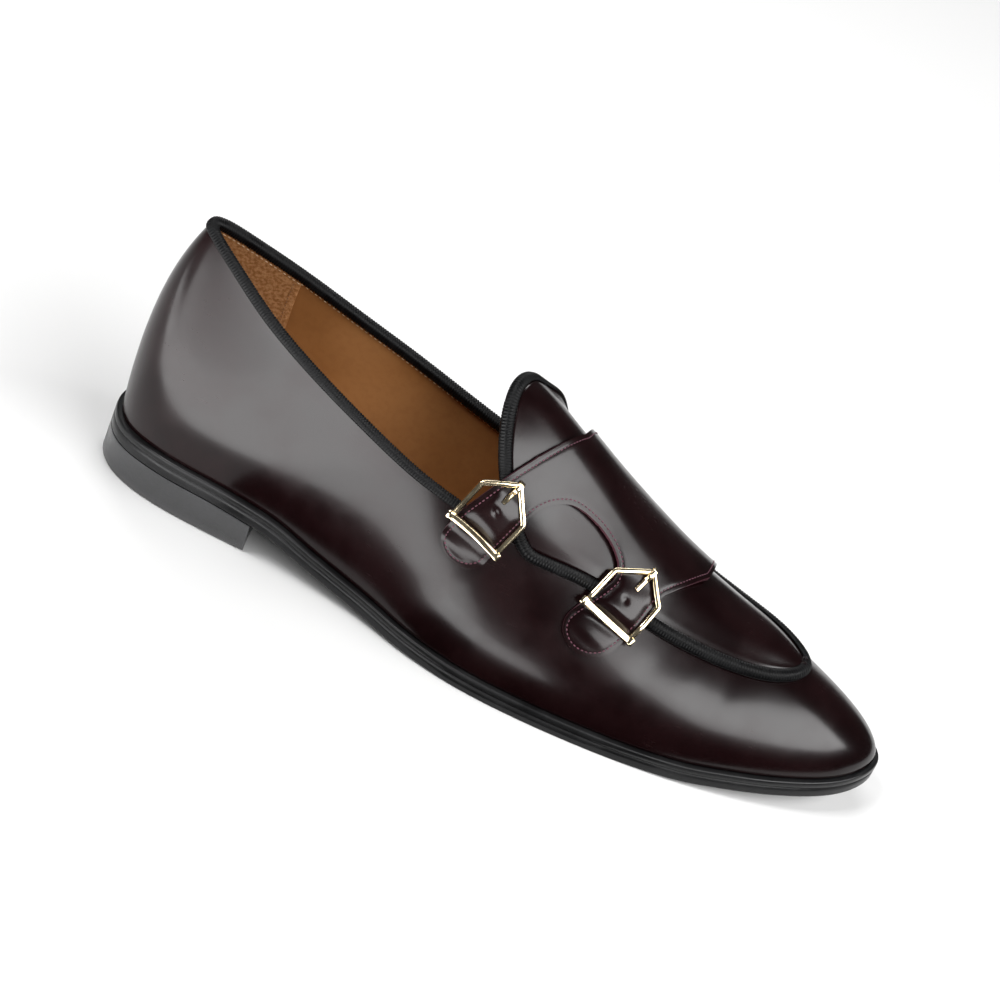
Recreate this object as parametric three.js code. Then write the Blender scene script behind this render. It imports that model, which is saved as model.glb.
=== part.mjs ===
// A men's slipper-cut shoe with a saddle and two buckled straps, right foot, in millimetres.
// Toe along +X, medial side along +Y, up along +Z, the sole's walking faces on z = 0.
// Every leather piece lies on one surface, the last: a lap of ribs from the sole's edge to the instep ridge.
import * as THREE from 'three';

// Driving dimensions
const LENGTH = 292;
const BALL_WIDTH = 92;
const HEEL_HEIGHT = 14.5;
const TOE_SPRING = 10.5;
const COLLAR_HEIGHT = 96;
const INSTEP_HEIGHT = 80;

// Sole, heel and insole
const SOLE_THICKNESS = 6.5;
const SOLE_EDGE_BEVEL = 0.8;
const GROOVE_DEPTH = 0.5;
const GROOVE_WIDTH = 0.8;
const GROOVE_DROP = 2.1;
const HEEL_LENGTH = 63;
const HEEL_FOOT_WIDTH = 0.86;
const HEEL_EDGE_BEVEL = 0.8;
const INSOLE_THICKNESS = 2.6;
const INSOLE_EASE = 2.5;

// Leather
const FEATHER_INSET = 1.9;
const WALL = 2;
const APRON_THICKNESS = 1.5;
const SADDLE_THICKNESS = 1.8;
const SADDLE_HEM = 2;
const SADDLE_FALL = 9;
const SADDLE_CLEARANCE = 0.5;
const SADDLE_FALL_START = 1.2;
const CLEARANCE = 0.35;
const THROAT_STATION = 9;
const TONGUE_CORNER_STATION = 9.1;
const TONGUE_TIP_STATION = 8.03;
const TONGUE_SQUARENESS = 3.4;

// Bindings
const COLLAR_BINDING_DEPTH = 3;
const COLLAR_BINDING_END = 8.75;
const BINDING_SKIN = 0.7;
const BINDING_FLARE = 0.35;
const CORD_WIDTH = 3.6;
const CORD_HEIGHT = 2.2;
const CORD_EASE = 0.15;

// Buckles, measured along the strap and across it
const BUCKLE_WIDTH = 20.2;
const BUCKLE_SIDE = 15.2;
const BUCKLE_ROOF = 8.4;
const BUCKLE_BAR = 1.9;
const HINGE_BAR = 2.6;
const HINGE_BAR_THICKNESS = 1.9;
const BUCKLE_THICKNESS = 1.5;
const HINGE_BAR_OVERHANG = 0.6;
const HINGE_BAR_LIFT = 0.5;
const FRAME_LIFT = 0.25;
const PRONG_LENGTH = 7;
const PRONG_WIDTH = 1.7;
const PRONG_THICKNESS = 1.3;
const BUCKLE_LEAN = 16;

// Stations run round each side of the shoe from the middle of the heel's back to the toe tip.
// foot: place along the sole, in lengths; lateral and medial: the sole's half widths there, in ball widths;
// arch and spring: lift of the sole's underside, in heel heights and toe springs.
const SOLE_STATIONS = [
  { foot: 0.000, lateral: 0.000, medial: 0.000, arch: 0.90, spring: 0.00 },
  { foot: 0.009, lateral: 0.127, medial: 0.127, arch: 0.91, spring: 0.00 },
  { foot: 0.034, lateral: 0.234, medial: 0.234, arch: 0.96, spring: 0.00 },
  { foot: 0.082, lateral: 0.309, medial: 0.303, arch: 1.04, spring: 0.00 },
  { foot: 0.148, lateral: 0.338, medial: 0.326, arch: 1.06, spring: 0.00 },
  { foot: 0.226, lateral: 0.345, medial: 0.310, arch: 0.93, spring: 0.00 },
  { foot: 0.301, lateral: 0.357, medial: 0.279, arch: 0.53, spring: 0.00 },
  { foot: 0.370, lateral: 0.385, medial: 0.273, arch: 0.25, spring: 0.00 },
  { foot: 0.438, lateral: 0.451, medial: 0.321, arch: 0.07, spring: 0.00 },
  { foot: 0.514, lateral: 0.498, medial: 0.397, arch: 0.01, spring: 0.00 },
  { foot: 0.599, lateral: 0.504, medial: 0.473, arch: 0.00, spring: 0.00 },
  { foot: 0.685, lateral: 0.485, medial: 0.498, arch: 0.00, spring: 0.00 },
  { foot: 0.771, lateral: 0.443, medial: 0.465, arch: 0.00, spring: 0.06 },
  { foot: 0.846, lateral: 0.383, medial: 0.393, arch: 0.00, spring: 0.33 },
  { foot: 0.911, lateral: 0.304, medial: 0.303, arch: 0.00, spring: 0.60 },
  { foot: 0.962, lateral: 0.201, medial: 0.207, arch: 0.00, spring: 0.80 },
  { foot: 0.990, lateral: 0.087, medial: 0.118, arch: 0.00, spring: 0.93 },
  { foot: 1.000, lateral: -0.022, medial: 0.022, arch: 0.00, spring: 0.98 },
];

// The ribs over those stations.
// rim and half: place and half width of the collar, further on of the apron's edge, in lengths and
// ball widths; edge: its height in collar heights; ridge: height of the instep ridge, in instep heights;
// bulge: how far the rib swells past its foot, in ball widths; lift: how high, as a share of its rise;
// lean: the rib's slope at the rim, in degrees from upright.
const RIBS = [
  { rim: 0.033, half: 0.000, edge: 1.010, ridge: 1.120, bulge: 0.024, lift: 0.36, lean: 25 },
  { rim: 0.036, half: 0.033, edge: 1.006, ridge: 1.120, bulge: 0.028, lift: 0.36, lean: 24 },
  { rim: 0.051, half: 0.070, edge: 0.990, ridge: 1.120, bulge: 0.037, lift: 0.34, lean: 22 },
  { rim: 0.086, half: 0.124, edge: 0.944, ridge: 1.120, bulge: 0.039, lift: 0.32, lean: 18 },
  { rim: 0.147, half: 0.209, edge: 0.864, ridge: 1.120, bulge: 0.043, lift: 0.31, lean: 14 },
  { rim: 0.226, half: 0.268, edge: 0.775, ridge: 1.120, bulge: 0.041, lift: 0.31, lean: 12 },
  { rim: 0.301, half: 0.308, edge: 0.701, ridge: 1.120, bulge: 0.039, lift: 0.31, lean: 12 },
  { rim: 0.370, half: 0.330, edge: 0.634, ridge: 1.190, bulge: 0.035, lift: 0.32, lean: 14 },
  { rim: 0.438, half: 0.325, edge: 0.585, ridge: 1.150, bulge: 0.030, lift: 0.33, lean: 19 },
  { rim: 0.514, half: 0.314, edge: 0.539, ridge: 1.010, bulge: 0.028, lift: 0.34, lean: 27 },
  { rim: 0.599, half: 0.281, edge: 0.531, ridge: 0.826, bulge: 0.028, lift: 0.36, lean: 38 },
  { rim: 0.685, half: 0.256, edge: 0.460, ridge: 0.670, bulge: 0.026, lift: 0.38, lean: 50 },
  { rim: 0.767, half: 0.210, edge: 0.418, ridge: 0.586, bulge: 0.025, lift: 0.39, lean: 60 },
  { rim: 0.818, half: 0.159, edge: 0.406, ridge: 0.546, bulge: 0.021, lift: 0.40, lean: 66 },
  { rim: 0.845, half: 0.100, edge: 0.402, ridge: 0.514, bulge: 0.015, lift: 0.41, lean: 69 },
  { rim: 0.857, half: 0.054, edge: 0.402, ridge: 0.496, bulge: 0.006, lift: 0.40, lean: 70 },
  { rim: 0.862, half: 0.024, edge: 0.403, ridge: 0.488, bulge: 0.001, lift: 0.39, lean: 70 },
  { rim: 0.863, half: 0.000, edge: 0.404, ridge: 0.485, bulge: -0.001, lift: 0.39, lean: 70 },
];
const TOE = SOLE_STATIONS.length - 1;
const LAP = 2 * TOE;

// The saddle's outline, row by row. rear, middle and front are places along the shoe, in lengths.
// down: on the medial side the share of the way from the ridge to the sole; on the lateral side, where
// the two straps part, the girth from the ridge in ball widths.
const SADDLE_MEDIAL = [
  { down: 1.00, rear: 0.548, middle: 0.622, front: 0.704 },
  { down: 0.66, rear: 0.540, middle: 0.624, front: 0.712 },
  { down: 0.33, rear: 0.530, middle: 0.622, front: 0.724 },
  { down: 0.00, rear: 0.514, middle: 0.608, front: 0.718 },
];
const SADDLE_LATERAL = [
  { down: 0.000, rear: 0.514, middle: 0.608, front: 0.718 },
  { down: 0.100, rear: 0.498, middle: 0.596, front: 0.700 },
  { down: 0.199, rear: 0.482, middle: 0.578, front: 0.679 },
];
const REAR_STRAP = [
  { down: 0.199, rear: 0.482, front: 0.578 },
  { down: 0.204, rear: 0.481, front: 0.560 },
  { down: 0.219, rear: 0.479, front: 0.543 },
  { down: 0.257, rear: 0.473, front: 0.527 },
  { down: 0.308, rear: 0.465, front: 0.514 },
  { down: 0.374, rear: 0.455, front: 0.504 },
  { down: 0.457, rear: 0.443, front: 0.496 },
  { down: 0.543, rear: 0.431, front: 0.488 },
  { down: 0.625, rear: 0.424, front: 0.481 },
];
const FRONT_STRAP = [
  { down: 0.199, rear: 0.578, front: 0.679 },
  { down: 0.206, rear: 0.594, front: 0.678 },
  { down: 0.223, rear: 0.608, front: 0.676 },
  { down: 0.249, rear: 0.617, front: 0.674 },
  { down: 0.285, rear: 0.619, front: 0.671 },
  { down: 0.333, rear: 0.614, front: 0.668 },
  { down: 0.413, rear: 0.602, front: 0.661 },
  { down: 0.491, rear: 0.591, front: 0.652 },
];

// Buckles: hinge and down place the middle of the hinge bar, in lengths and as a girth in ball widths;
// turn: how far the hinge bar turns from the line of equal girth, in degrees.
const BUCKLES = [
  { name: 'rear', hinge: 0.455, down: 0.570, turn: 0 },
  { name: 'front', hinge: 0.631, down: 0.424, turn: -4 },
];

// Smooth value of a table's column between two rows, without overshoot, so that flats stay flat.
function smooth(rows, name, place) {
  const last = rows.length - 1;
  const i = Math.min(Math.floor(place), last - 1);
  const step = (k) => rows[k + 1][name] - rows[k][name];
  const slope = (k) => {
    if (k === 0 || k === last) return 0;
    const before = step(k - 1);
    const after = step(k);
    return before * after <= 0 ? 0 : (2 * before * after) / (before + after);
  };
  const f = place - i;
  const rise = f * f * (3 - 2 * f) * step(i);
  const bend = f * (1 - f) * ((1 - f) * slope(i) - f * slope(i + 1));
  return rows[i][name] + rise + bend;
}

// A lap coordinate counts stations forward along the lateral side and back along the medial one.
const wrap = (lap) => ((lap % LAP) + LAP) % LAP;
const stationOf = (lap) => Math.min(wrap(lap), LAP - wrap(lap));
const isLateral = (lap) => wrap(lap) <= TOE;

function lapCurve(rows, pointAt) {
  const points = Array.from({ length: LAP }, (_, lap) => pointAt(rows[stationOf(lap)], isLateral(lap)));
  return new THREE.CatmullRomCurve3(points, true, 'centripetal');
}

const soleLine = lapCurve(SOLE_STATIONS, (row, lateral) => new THREE.Vector3(
  row.foot * LENGTH, (lateral ? -row.lateral : row.medial) * BALL_WIDTH, 0));
const rimLine = lapCurve(RIBS, (row, lateral) => new THREE.Vector3(
  row.rim * LENGTH, (lateral ? -row.half : row.half) * BALL_WIDTH, row.edge * COLLAR_HEIGHT));

function outwards(curve, lap) {
  const along = curve.getTangent(wrap(lap) / LAP);
  return new THREE.Vector3(along.y, -along.x, 0).normalize();
}

// The station at which a rising function of station reaches a value.
function stationWhere(risingWith, value) {
  let [low, high] = [0, TOE];
  while (high - low > 1e-6) {
    const middle = (low + high) / 2;
    [low, high] = risingWith(middle) > value ? [low, middle] : [middle, high];
  }
  return low;
}

function soleUnderside(x) {
  const station = stationWhere((middle) => smooth(SOLE_STATIONS, 'foot', middle), x / LENGTH);
  const arch = HEEL_HEIGHT * smooth(SOLE_STATIONS, 'arch', station);
  return arch + TOE_SPRING * smooth(SOLE_STATIONS, 'spring', station);
}

function solePoint(lap, inset, height) {
  const point = soleLine.getPoint(wrap(lap) / LAP).addScaledVector(outwards(soleLine, lap), -inset);
  return point.setZ(soleUnderside(point.x) + height);
}

const bezier = (points, t) => new THREE.CubicBezierCurve3(...points).getPoint(t);

// Fullness of a rib: its handles at the rim, as shares of their spans, and how flat it crosses the ridge.
const BAND_HANDLE = 0.32;
const CAP_HANDLE = 0.36;
const CROWN = 0.5;

// The last: level runs from 0 at the sole's edge to 1 at the rim and 2 on the instep ridge.
function lastPoint(lap, level) {
  const station = stationOf(lap);
  const rim = rimLine.getPoint(wrap(lap) / LAP);
  const lean = THREE.MathUtils.degToRad(smooth(RIBS, 'lean', station));
  const climb = outwards(rimLine, lap).multiplyScalar(-Math.sin(lean)).setZ(Math.cos(lean));
  if (level <= 1) {
    const foot = solePoint(lap, FEATHER_INSET, SOLE_THICKNESS + CLEARANCE);
    const bulge = smooth(RIBS, 'bulge', station) * BALL_WIDTH;
    const swell = foot.clone().addScaledVector(outwards(soleLine, lap), bulge);
    swell.z += smooth(RIBS, 'lift', station) * (rim.z - foot.z);
    const under = rim.clone().addScaledVector(climb, -BAND_HANDLE * rim.distanceTo(foot));
    return bezier([foot, swell, under, rim], level);
  }
  const ridge = new THREE.Vector3(rim.x, 0, Math.max(smooth(RIBS, 'ridge', station) * INSTEP_HEIGHT, rim.z));
  const over = rim.clone().addScaledVector(climb, CAP_HANDLE * rim.distanceTo(ridge));
  const beside = ridge.clone().setY(CROWN * rim.y);
  return bezier([rim, over, beside, ridge], level - 1);
}

// Steps of level and lap over which the last's slope is read, and the stations at the toe's tip whose cap is
// too small to read it from.
const LEVEL_STEP = 0.01;
const LAP_STEP = 0.05;
const TIP_STATIONS = 0.5;

// A place on the last with its outward normal, read a little off the ridge and the toe's tip, where ribs
// meet.
function lastPlace(lap, level) {
  const highest = stationOf(lap) > TOE - TIP_STATIONS ? 1 - 2 * LEVEL_STEP : 2 - 3 * LEVEL_STEP;
  const near = THREE.MathUtils.clamp(level, LEVEL_STEP, highest);
  const up = lastPoint(lap, near + LEVEL_STEP).sub(lastPoint(lap, near - LEVEL_STEP));
  const along = lastPoint(lap + LAP_STEP, near).sub(lastPoint(lap - LAP_STEP, near));
  const normal = along.cross(up).normalize();
  if (level === 2 || stationOf(lap) === TOE) normal.setY(0).normalize();
  return { at: lastPoint(lap, level), normal };
}

const steps = (from, to, count) =>
  Array.from({ length: count + 1 }, (_, i) => from + ((to - from) * i) / count);

function geometryOf(points, faces) {
  const geometry = new THREE.BufferGeometry();
  geometry.setAttribute('position', new THREE.Float32BufferAttribute(points.flatMap((p) => p.toArray()), 3));
  geometry.setIndex(faces.flat());
  return geometry.toNonIndexed();
}

// Two triangles for a quad, or one where two of its corners are the same vertex.
const quad = (a, b, c, d) => [[a, b, c], [a, c, d]].filter(([p, q, r]) => p !== q && q !== r && r !== p);

// A closed wall between two offsets of one surface. Each patch is a grid of places, and grids join where
// they touch.
function shell(patches, low, high) {
  const places = [];
  const known = new Map();
  const vertex = (place) => {
    const key = place.at.toArray().map((value) => value.toFixed(3)).join();
    if (!known.has(key)) known.set(key, places.push(place) - 1);
    return known.get(key);
  };
  const faces = patches.flatMap((patch) => {
    const rows = patch.map((row) => row.map(vertex));
    return rows.slice(1).flatMap((row, i) =>
      row.slice(1).flatMap((corner, j) => quad(rows[i][j], rows[i][j + 1], corner, row[j])));
  });
  const edges = new Set(faces.flatMap(([a, b, c]) => [`${a},${b}`, `${b},${c}`, `${c},${a}`]));
  const open = [...edges].map((edge) => edge.split(',').map(Number))
    .filter(([a, b]) => !edges.has(`${b},${a}`));
  const count = places.length;
  const offset = (distance) => places.map(({ at, normal }) => at.clone().addScaledVector(normal, distance));
  return geometryOf([...offset(low), ...offset(high)], [
    ...faces.map(([a, b, c]) => [c, b, a]),
    ...faces.map((face) => face.map((corner) => corner + count)),
    ...open.flatMap(([a, b]) => quad(a, b, b + count, a + count)),
  ]);
}

// A solid through rings of equal count, each closed by strips between its two mirrored sides.
function loft(rings) {
  const count = rings[0].length;
  const sides = rings.slice(1).flatMap((_, i) => rings[i].flatMap((__, j) => {
    const next = (j + 1) % count;
    return quad(i * count + j, i * count + next, (i + 1) * count + next, (i + 1) * count + j);
  }));
  const half = rings[0].slice(0, Math.ceil(count / 2));
  const strips = half.flatMap((_, k) => quad(k, k + 1, count - k - 1, (count - k) % count));
  const last = (rings.length - 1) * count;
  return geometryOf(rings.flat(), [
    ...sides,
    ...strips.map(([a, b, c]) => [c, b, a]),
    ...strips.map((face) => face.map((corner) => corner + last)),
  ]);
}

// A solid swept through stops, each a place with two axes for the section's two values.
function sweep(stops, section, closed) {
  const count = section.length;
  const points = stops.flatMap(({ at, across, up }) =>
    section.map(([a, b]) => at.clone().addScaledVector(across, a).addScaledVector(up, b)));
  const spans = closed ? stops : stops.slice(1);
  const sides = spans.flatMap((_, i) => section.flatMap((__, j) => {
    const next = (j + 1) % count;
    const ahead = (i + 1) % stops.length;
    return quad(i * count + j, i * count + next, ahead * count + next, ahead * count + j);
  }));
  const contour = section.map(([a, b]) => new THREE.Vector2(a, b));
  const turn = Math.sign(THREE.ShapeUtils.area(contour));
  const lid = closed ? [] : THREE.ShapeUtils.triangulateShape(contour, []).map((face) => {
    const flat = Math.sign(THREE.ShapeUtils.area(face.map((corner) => contour[corner])));
    return flat === turn ? face : [...face].reverse();
  });
  const end = (stops.length - 1) * count;
  return geometryOf(points, [
    ...sides,
    ...lid.map((face) => [...face].reverse()),
    ...lid.map((face) => face.map((corner) => corner + end)),
  ]);
}

// Turns a solid's faces outwards.
function outward(geometry) {
  const position = geometry.getAttribute('position');
  const [a, b, c] = [new THREE.Vector3(), new THREE.Vector3(), new THREE.Vector3()];
  let volume = 0;
  for (let i = 0; i < position.count; i += 3) {
    a.fromBufferAttribute(position, i);
    b.fromBufferAttribute(position, i + 1);
    c.fromBufferAttribute(position, i + 2);
    volume += a.dot(b.cross(c));
  }
  if (volume > 0) return geometry;
  const swap = [0, 1, -1];
  const order = Array.from({ length: position.count }, (_, i) => i + swap[i % 3]);
  return geometry.setIndex(order).toNonIndexed();
}

// Stations at which the leather is faceted, closer together where the heel turns.
const HEEL_TURN = 3;
const TURN_FACETS = 4;
const SIDE_FACETS = 2;
const sideStations = [
  ...steps(0, HEEL_TURN, TURN_FACETS * HEEL_TURN),
  ...steps(HEEL_TURN, TOE, SIDE_FACETS * (TOE - HEEL_TURN)).slice(1),
];
const backLaps = [...sideStations].reverse().map((station) => LAP - station);
const ringLaps = [...sideStations, ...backLaps.slice(1, -1)];

function outsole() {
  const groove = SOLE_THICKNESS - GROOVE_DROP;
  const profile = [
    [SOLE_EDGE_BEVEL, 0],
    [0, SOLE_EDGE_BEVEL],
    [0, groove - GROOVE_WIDTH],
    [GROOVE_DEPTH, groove - GROOVE_WIDTH / 2],
    [0, groove],
    [0, SOLE_THICKNESS - SOLE_EDGE_BEVEL],
    [SOLE_EDGE_BEVEL, SOLE_THICKNESS],
  ];
  return loft(profile.map(([inset, height]) => ringLaps.map((lap) => solePoint(lap, inset, height))));
}

function insole() {
  const bottom = SOLE_THICKNESS + CLEARANCE;
  const inset = FEATHER_INSET + WALL + INSOLE_EASE;
  return loft([bottom, bottom + INSOLE_THICKNESS].map((height) =>
    ringLaps.map((lap) => solePoint(lap, inset, height))));
}

// The station whose point on a lap curve lies at a given place along the length.
const stationAt = (curve, lateral, x) =>
  stationWhere((station) => curve.getPoint((lateral ? station : LAP - station) / LAP).x, x);

const HEEL_FACETS = 12;
function heel() {
  const stations = (lateral) => steps(0, stationAt(soleLine, lateral, HEEL_LENGTH), HEEL_FACETS);
  const medial = stations(false).slice(1).reverse();
  const laps = [...stations(true), ...medial.map((station) => LAP - station)];
  const ring = (inset, share) => laps.map((lap) => {
    const top = solePoint(lap, inset, -CLEARANCE);
    const width = THREE.MathUtils.lerp(HEEL_FOOT_WIDTH, 1, share);
    return new THREE.Vector3(top.x, top.y * width, top.z * share);
  });
  return loft([ring(HEEL_EDGE_BEVEL, 0), ring(0, HEEL_EDGE_BEVEL / HEEL_HEIGHT), ring(0, 1)]);
}

const BAND_ROWS = 9;
const CAP_ROWS = 6;
function upper() {
  const bandLaps = [...ringLaps, LAP];
  const band = steps(0, 1, BAND_ROWS).map((level) => bandLaps.map((lap) => lastPlace(lap, level)));
  const capStations = sideStations.filter((station) => station >= THROAT_STATION);
  const capLevels = steps(1, 2, CAP_ROWS);
  const lateralCap = capLevels.map((level) => capStations.map((station) => lastPlace(station, level)));
  const medialCap = capLevels.map((level) =>
    [...capStations].reverse().map((station) => lastPlace(LAP - station, level)));
  return shell([band, lateralCap, medialCap], -WALL, 0);
}

// The apron's own coordinates: side runs from -1 at the lateral edge to 1 at the medial one.
const tongueStation = (side) =>
  TONGUE_TIP_STATION + (TONGUE_CORNER_STATION - TONGUE_TIP_STATION) * Math.abs(side) ** TONGUE_SQUARENESS;

function apronPlace(side, along) {
  const station = THREE.MathUtils.lerp(tongueStation(side), TOE, along);
  return lastPlace(side < 0 ? station : LAP - station, 2 - Math.abs(side));
}

const APRON_ROWS = steps(0, 1, 22);
const APRON_SIDES = steps(-1, 1, 16);

function apron() {
  const patch = APRON_ROWS.map((along) => APRON_SIDES.map((side) => apronPlace(side, along)));
  return shell([patch], CLEARANCE, CLEARANCE + APRON_THICKNESS);
}

// Stops along a run of places, with the axis across pointing away from the surface's middle.
function edgeStops(places, closed) {
  return places.map(({ at, normal }, i) => {
    const before = closed ? places.at(i - 1) : places[Math.max(i - 1, 0)];
    const after = closed ? places[(i + 1) % places.length] : places[Math.min(i + 1, places.length - 1)];
    const along = after.at.clone().sub(before.at);
    return { at, across: along.cross(normal).normalize(), up: normal };
  });
}

function apronBinding() {
  const loop = [
    ...APRON_ROWS.map((along) => apronPlace(-1, along)),
    ...[...APRON_ROWS].reverse().slice(1).map((along) => apronPlace(1, along)),
    ...[...APRON_SIDES].reverse().slice(1, -1).map((side) => apronPlace(side, 0)),
  ];
  const near = CLEARANCE + CORD_EASE;
  const far = near + CORD_WIDTH;
  const top = CLEARANCE + CORD_HEIGHT;
  const [side, roll] = [CORD_WIDTH / 4, CORD_HEIGHT / 3];
  const section = [
    [near, CLEARANCE], [far - side, CLEARANCE], [far, CLEARANCE + roll], [far, top - roll], [far - side, top],
    [near + side, top], [near, top - roll],
  ];
  return sweep(edgeStops(loop, true), section, true);
}

function collarBinding() {
  const side = sideStations.filter((station) => station < COLLAR_BINDING_END);
  const laps = [...[...side].reverse().map((station) => -station), ...side.slice(1)];
  const stops = laps.map((lap) => {
    const { at, normal } = lastPlace(lap, 1);
    const along = rimLine.getTangent(wrap(lap) / LAP);
    return { at, across: normal, up: along.cross(normal).negate().normalize() };
  });
  const outer = CLEARANCE + BINDING_SKIN;
  const inner = -WALL - outer;
  const hem = -COLLAR_BINDING_DEPTH;
  const section = [
    [CLEARANCE + BINDING_FLARE, hem], [outer + BINDING_FLARE, hem], [outer, CLEARANCE], [CLEARANCE, outer],
    [-WALL - CLEARANCE, outer], [inner, CLEARANCE], [inner - BINDING_FLARE, hem],
    [-WALL - CLEARANCE - BINDING_FLARE, hem], [-WALL - CLEARANCE, CLEARANCE], [CLEARANCE, CLEARANCE],
  ];
  return sweep(stops, section, false);
}

// Girth from the ridge down to a level of one rib, measured along the leather.
const GIRTH_STEPS = 64;
function girthTable(lap) {
  const levels = steps(2, 0, GIRTH_STEPS);
  const points = levels.map((level) => lastPoint(lap, level));
  const girths = [0];
  points.slice(1).forEach((point, i) => girths.push(girths[i] + point.distanceTo(points[i])));
  return { levels, girths };
}

function levelAt({ levels, girths }, girth) {
  const i = Math.max(girths.findIndex((value) => value > girth), 1);
  const share = (girth - girths[i - 1]) / (girths[i] - girths[i - 1]);
  return THREE.MathUtils.lerp(levels[i - 1], levels[i], share);
}

// How far the saddle stands off the last: over the apron and its binding, then down to the vamp.
function saddleLift(belowRim) {
  const fall = THREE.MathUtils.smoothstep(belowRim, CORD_WIDTH + SADDLE_FALL_START, CORD_WIDTH + SADDLE_FALL);
  return THREE.MathUtils.lerp(2 * CLEARANCE + CORD_HEIGHT, SADDLE_CLEARANCE, fall);
}

// A place on the saddle's underside, given along the shoe and by girth, or by share of the medial girth.
function saddlePlace(lateral, x, down) {
  const station = stationAt(rimLine, lateral, x);
  const lap = lateral ? station : LAP - station;
  const table = girthTable(lap);
  const girth = lateral ? down * BALL_WIDTH : down * (table.girths.at(-1) - SADDLE_HEM);
  const place = lastPlace(lap, levelAt(table, girth));
  const rimGirth = table.girths[table.levels.indexOf(1)];
  place.at.addScaledVector(place.normal, saddleLift(girth - rimGirth));
  return place;
}

function outlineRow(rows, place, columns, names, lateral) {
  const down = smooth(rows, 'down', place);
  const edges = names.map((name) => smooth(rows, name, place) * LENGTH);
  return steps(0, 1, columns).map((share) => {
    const span = Math.min(Math.floor(share * (edges.length - 1)), edges.length - 2);
    const x = THREE.MathUtils.lerp(edges[span], edges[span + 1], share * (edges.length - 1) - span);
    return saddlePlace(lateral, x, down);
  });
}

// The strap's rounded end, as rows that narrow round a half circle.
const END_ROWS = 6;
function strapEnd(rows, columns) {
  const end = rows.at(-1);
  const before = rows.at(-2);
  const half = ((end.front - end.rear) * LENGTH) / 2;
  const drift = (end.rear + end.front - before.rear - before.front) / (2 * (end.down - before.down));
  return steps(0, Math.PI / 2, END_ROWS).slice(1).map((turn) => {
    const further = (half * Math.sin(turn)) / BALL_WIDTH;
    const middle = ((end.front + end.rear) / 2 + drift * further) * LENGTH;
    const reach = half * Math.cos(turn);
    return steps(-1, 1, columns).map((side) =>
      saddlePlace(true, middle + side * reach, end.down + further));
  });
}

const MEDIAL_ROWS = 6;
const STRAP_ROWS = 2;
const STRAP_COLUMNS = 5;
function saddle() {
  const patch = (rows, density, names, lateral) =>
    steps(0, rows.length - 1, density * (rows.length - 1)).map((place) =>
      outlineRow(rows, place, (names.length - 1) * STRAP_COLUMNS, names, lateral));
  const body = [
    ...patch(SADDLE_MEDIAL, MEDIAL_ROWS, ['rear', 'middle', 'front'], false),
    ...patch(SADDLE_LATERAL, STRAP_ROWS, ['rear', 'middle', 'front'], true).slice(1),
  ];
  const straps = [REAR_STRAP, FRONT_STRAP].map((rows) => [
    ...patch(rows, STRAP_ROWS, ['rear', 'front'], true),
    ...strapEnd(rows, STRAP_COLUMNS),
  ]);
  return shell([body, ...straps], 0, SADDLE_THICKNESS);
}

// A place above a strap, given along the buckle towards the ridge and across it towards the toe.
function bucklePlace({ hinge, down, turn }, along, across, height) {
  const angle = THREE.MathUtils.degToRad(turn);
  const lean = THREE.MathUtils.degToRad(BUCKLE_LEAN);
  const x = hinge * LENGTH + across * Math.cos(angle) + along * Math.sin(lean);
  const girth = down * BALL_WIDTH + across * Math.sin(angle) - along * Math.cos(lean);
  const place = saddlePlace(true, x, girth / BALL_WIDTH);
  place.at.addScaledVector(place.normal, SADDLE_THICKNESS + CLEARANCE + height);
  return place;
}

// Stops along a bar bent at its corners, widened there so that the bar keeps its width.
const SHARPEST_MITRE = 0.5;
function barStops(places) {
  return edgeStops(places, false).map((stop, i) => {
    if (i === 0 || i === places.length - 1) return stop;
    const ahead = places[i + 1].at.clone().sub(places[i].at).normalize();
    const square = ahead.cross(stop.up).normalize();
    const mitre = Math.max(square.dot(stop.across), SHARPEST_MITRE);
    return { ...stop, across: stop.across.clone().divideScalar(mitre) };
  });
}

function barSection(width, thickness) {
  const half = width / 2;
  const bevel = thickness / 4;
  return [
    [-half, 0], [half, 0], [half, thickness - bevel], [half - bevel, thickness], [bevel - half, thickness],
    [-half, thickness - bevel],
  ];
}

// Even points along the lines between corners.
function polyline(corners, spans) {
  const between = (from, to, share) => from.map((value, i) => THREE.MathUtils.lerp(value, to[i], share));
  return corners.slice(1).flatMap((corner, i) =>
    steps(0, 1, spans).slice(i === 0 ? 0 : 1).map((share) => between(corners[i], corner, share)));
}

const BAR_SPANS = 4;
function buckleFrame(buckle) {
  const half = (BUCKLE_WIDTH - BUCKLE_BAR) / 2;
  const start = HINGE_BAR / 2 + 2 * CLEARANCE;
  const shoulder = BUCKLE_SIDE;
  const tip = BUCKLE_SIDE + BUCKLE_ROOF;
  const corners = [[start, -half], [shoulder, -half], [tip, 0], [shoulder, half], [start, half]];
  const places = polyline(corners, BAR_SPANS).map(([along, across]) =>
    bucklePlace(buckle, along, across, FRAME_LIFT));
  return sweep(barStops(places), barSection(BUCKLE_BAR, BUCKLE_THICKNESS), false);
}

function hingeBar(buckle) {
  const half = BUCKLE_WIDTH / 2 + HINGE_BAR_OVERHANG;
  const places = steps(-half, half, BAR_SPANS).map((across) =>
    bucklePlace(buckle, 0, across, HINGE_BAR_LIFT));
  return sweep(edgeStops(places, false), barSection(HINGE_BAR, HINGE_BAR_THICKNESS), false);
}

function prong(buckle) {
  const start = BUCKLE_SIDE + BUCKLE_ROOF - BUCKLE_BAR - 3 * CLEARANCE;
  const places = steps(start, start - PRONG_LENGTH, BAR_SPANS).map((along) =>
    bucklePlace(buckle, along, 0, FRAME_LIFT));
  return sweep(edgeStops(places, false), barSection(PRONG_WIDTH, PRONG_THICKNESS), false);
}

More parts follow.
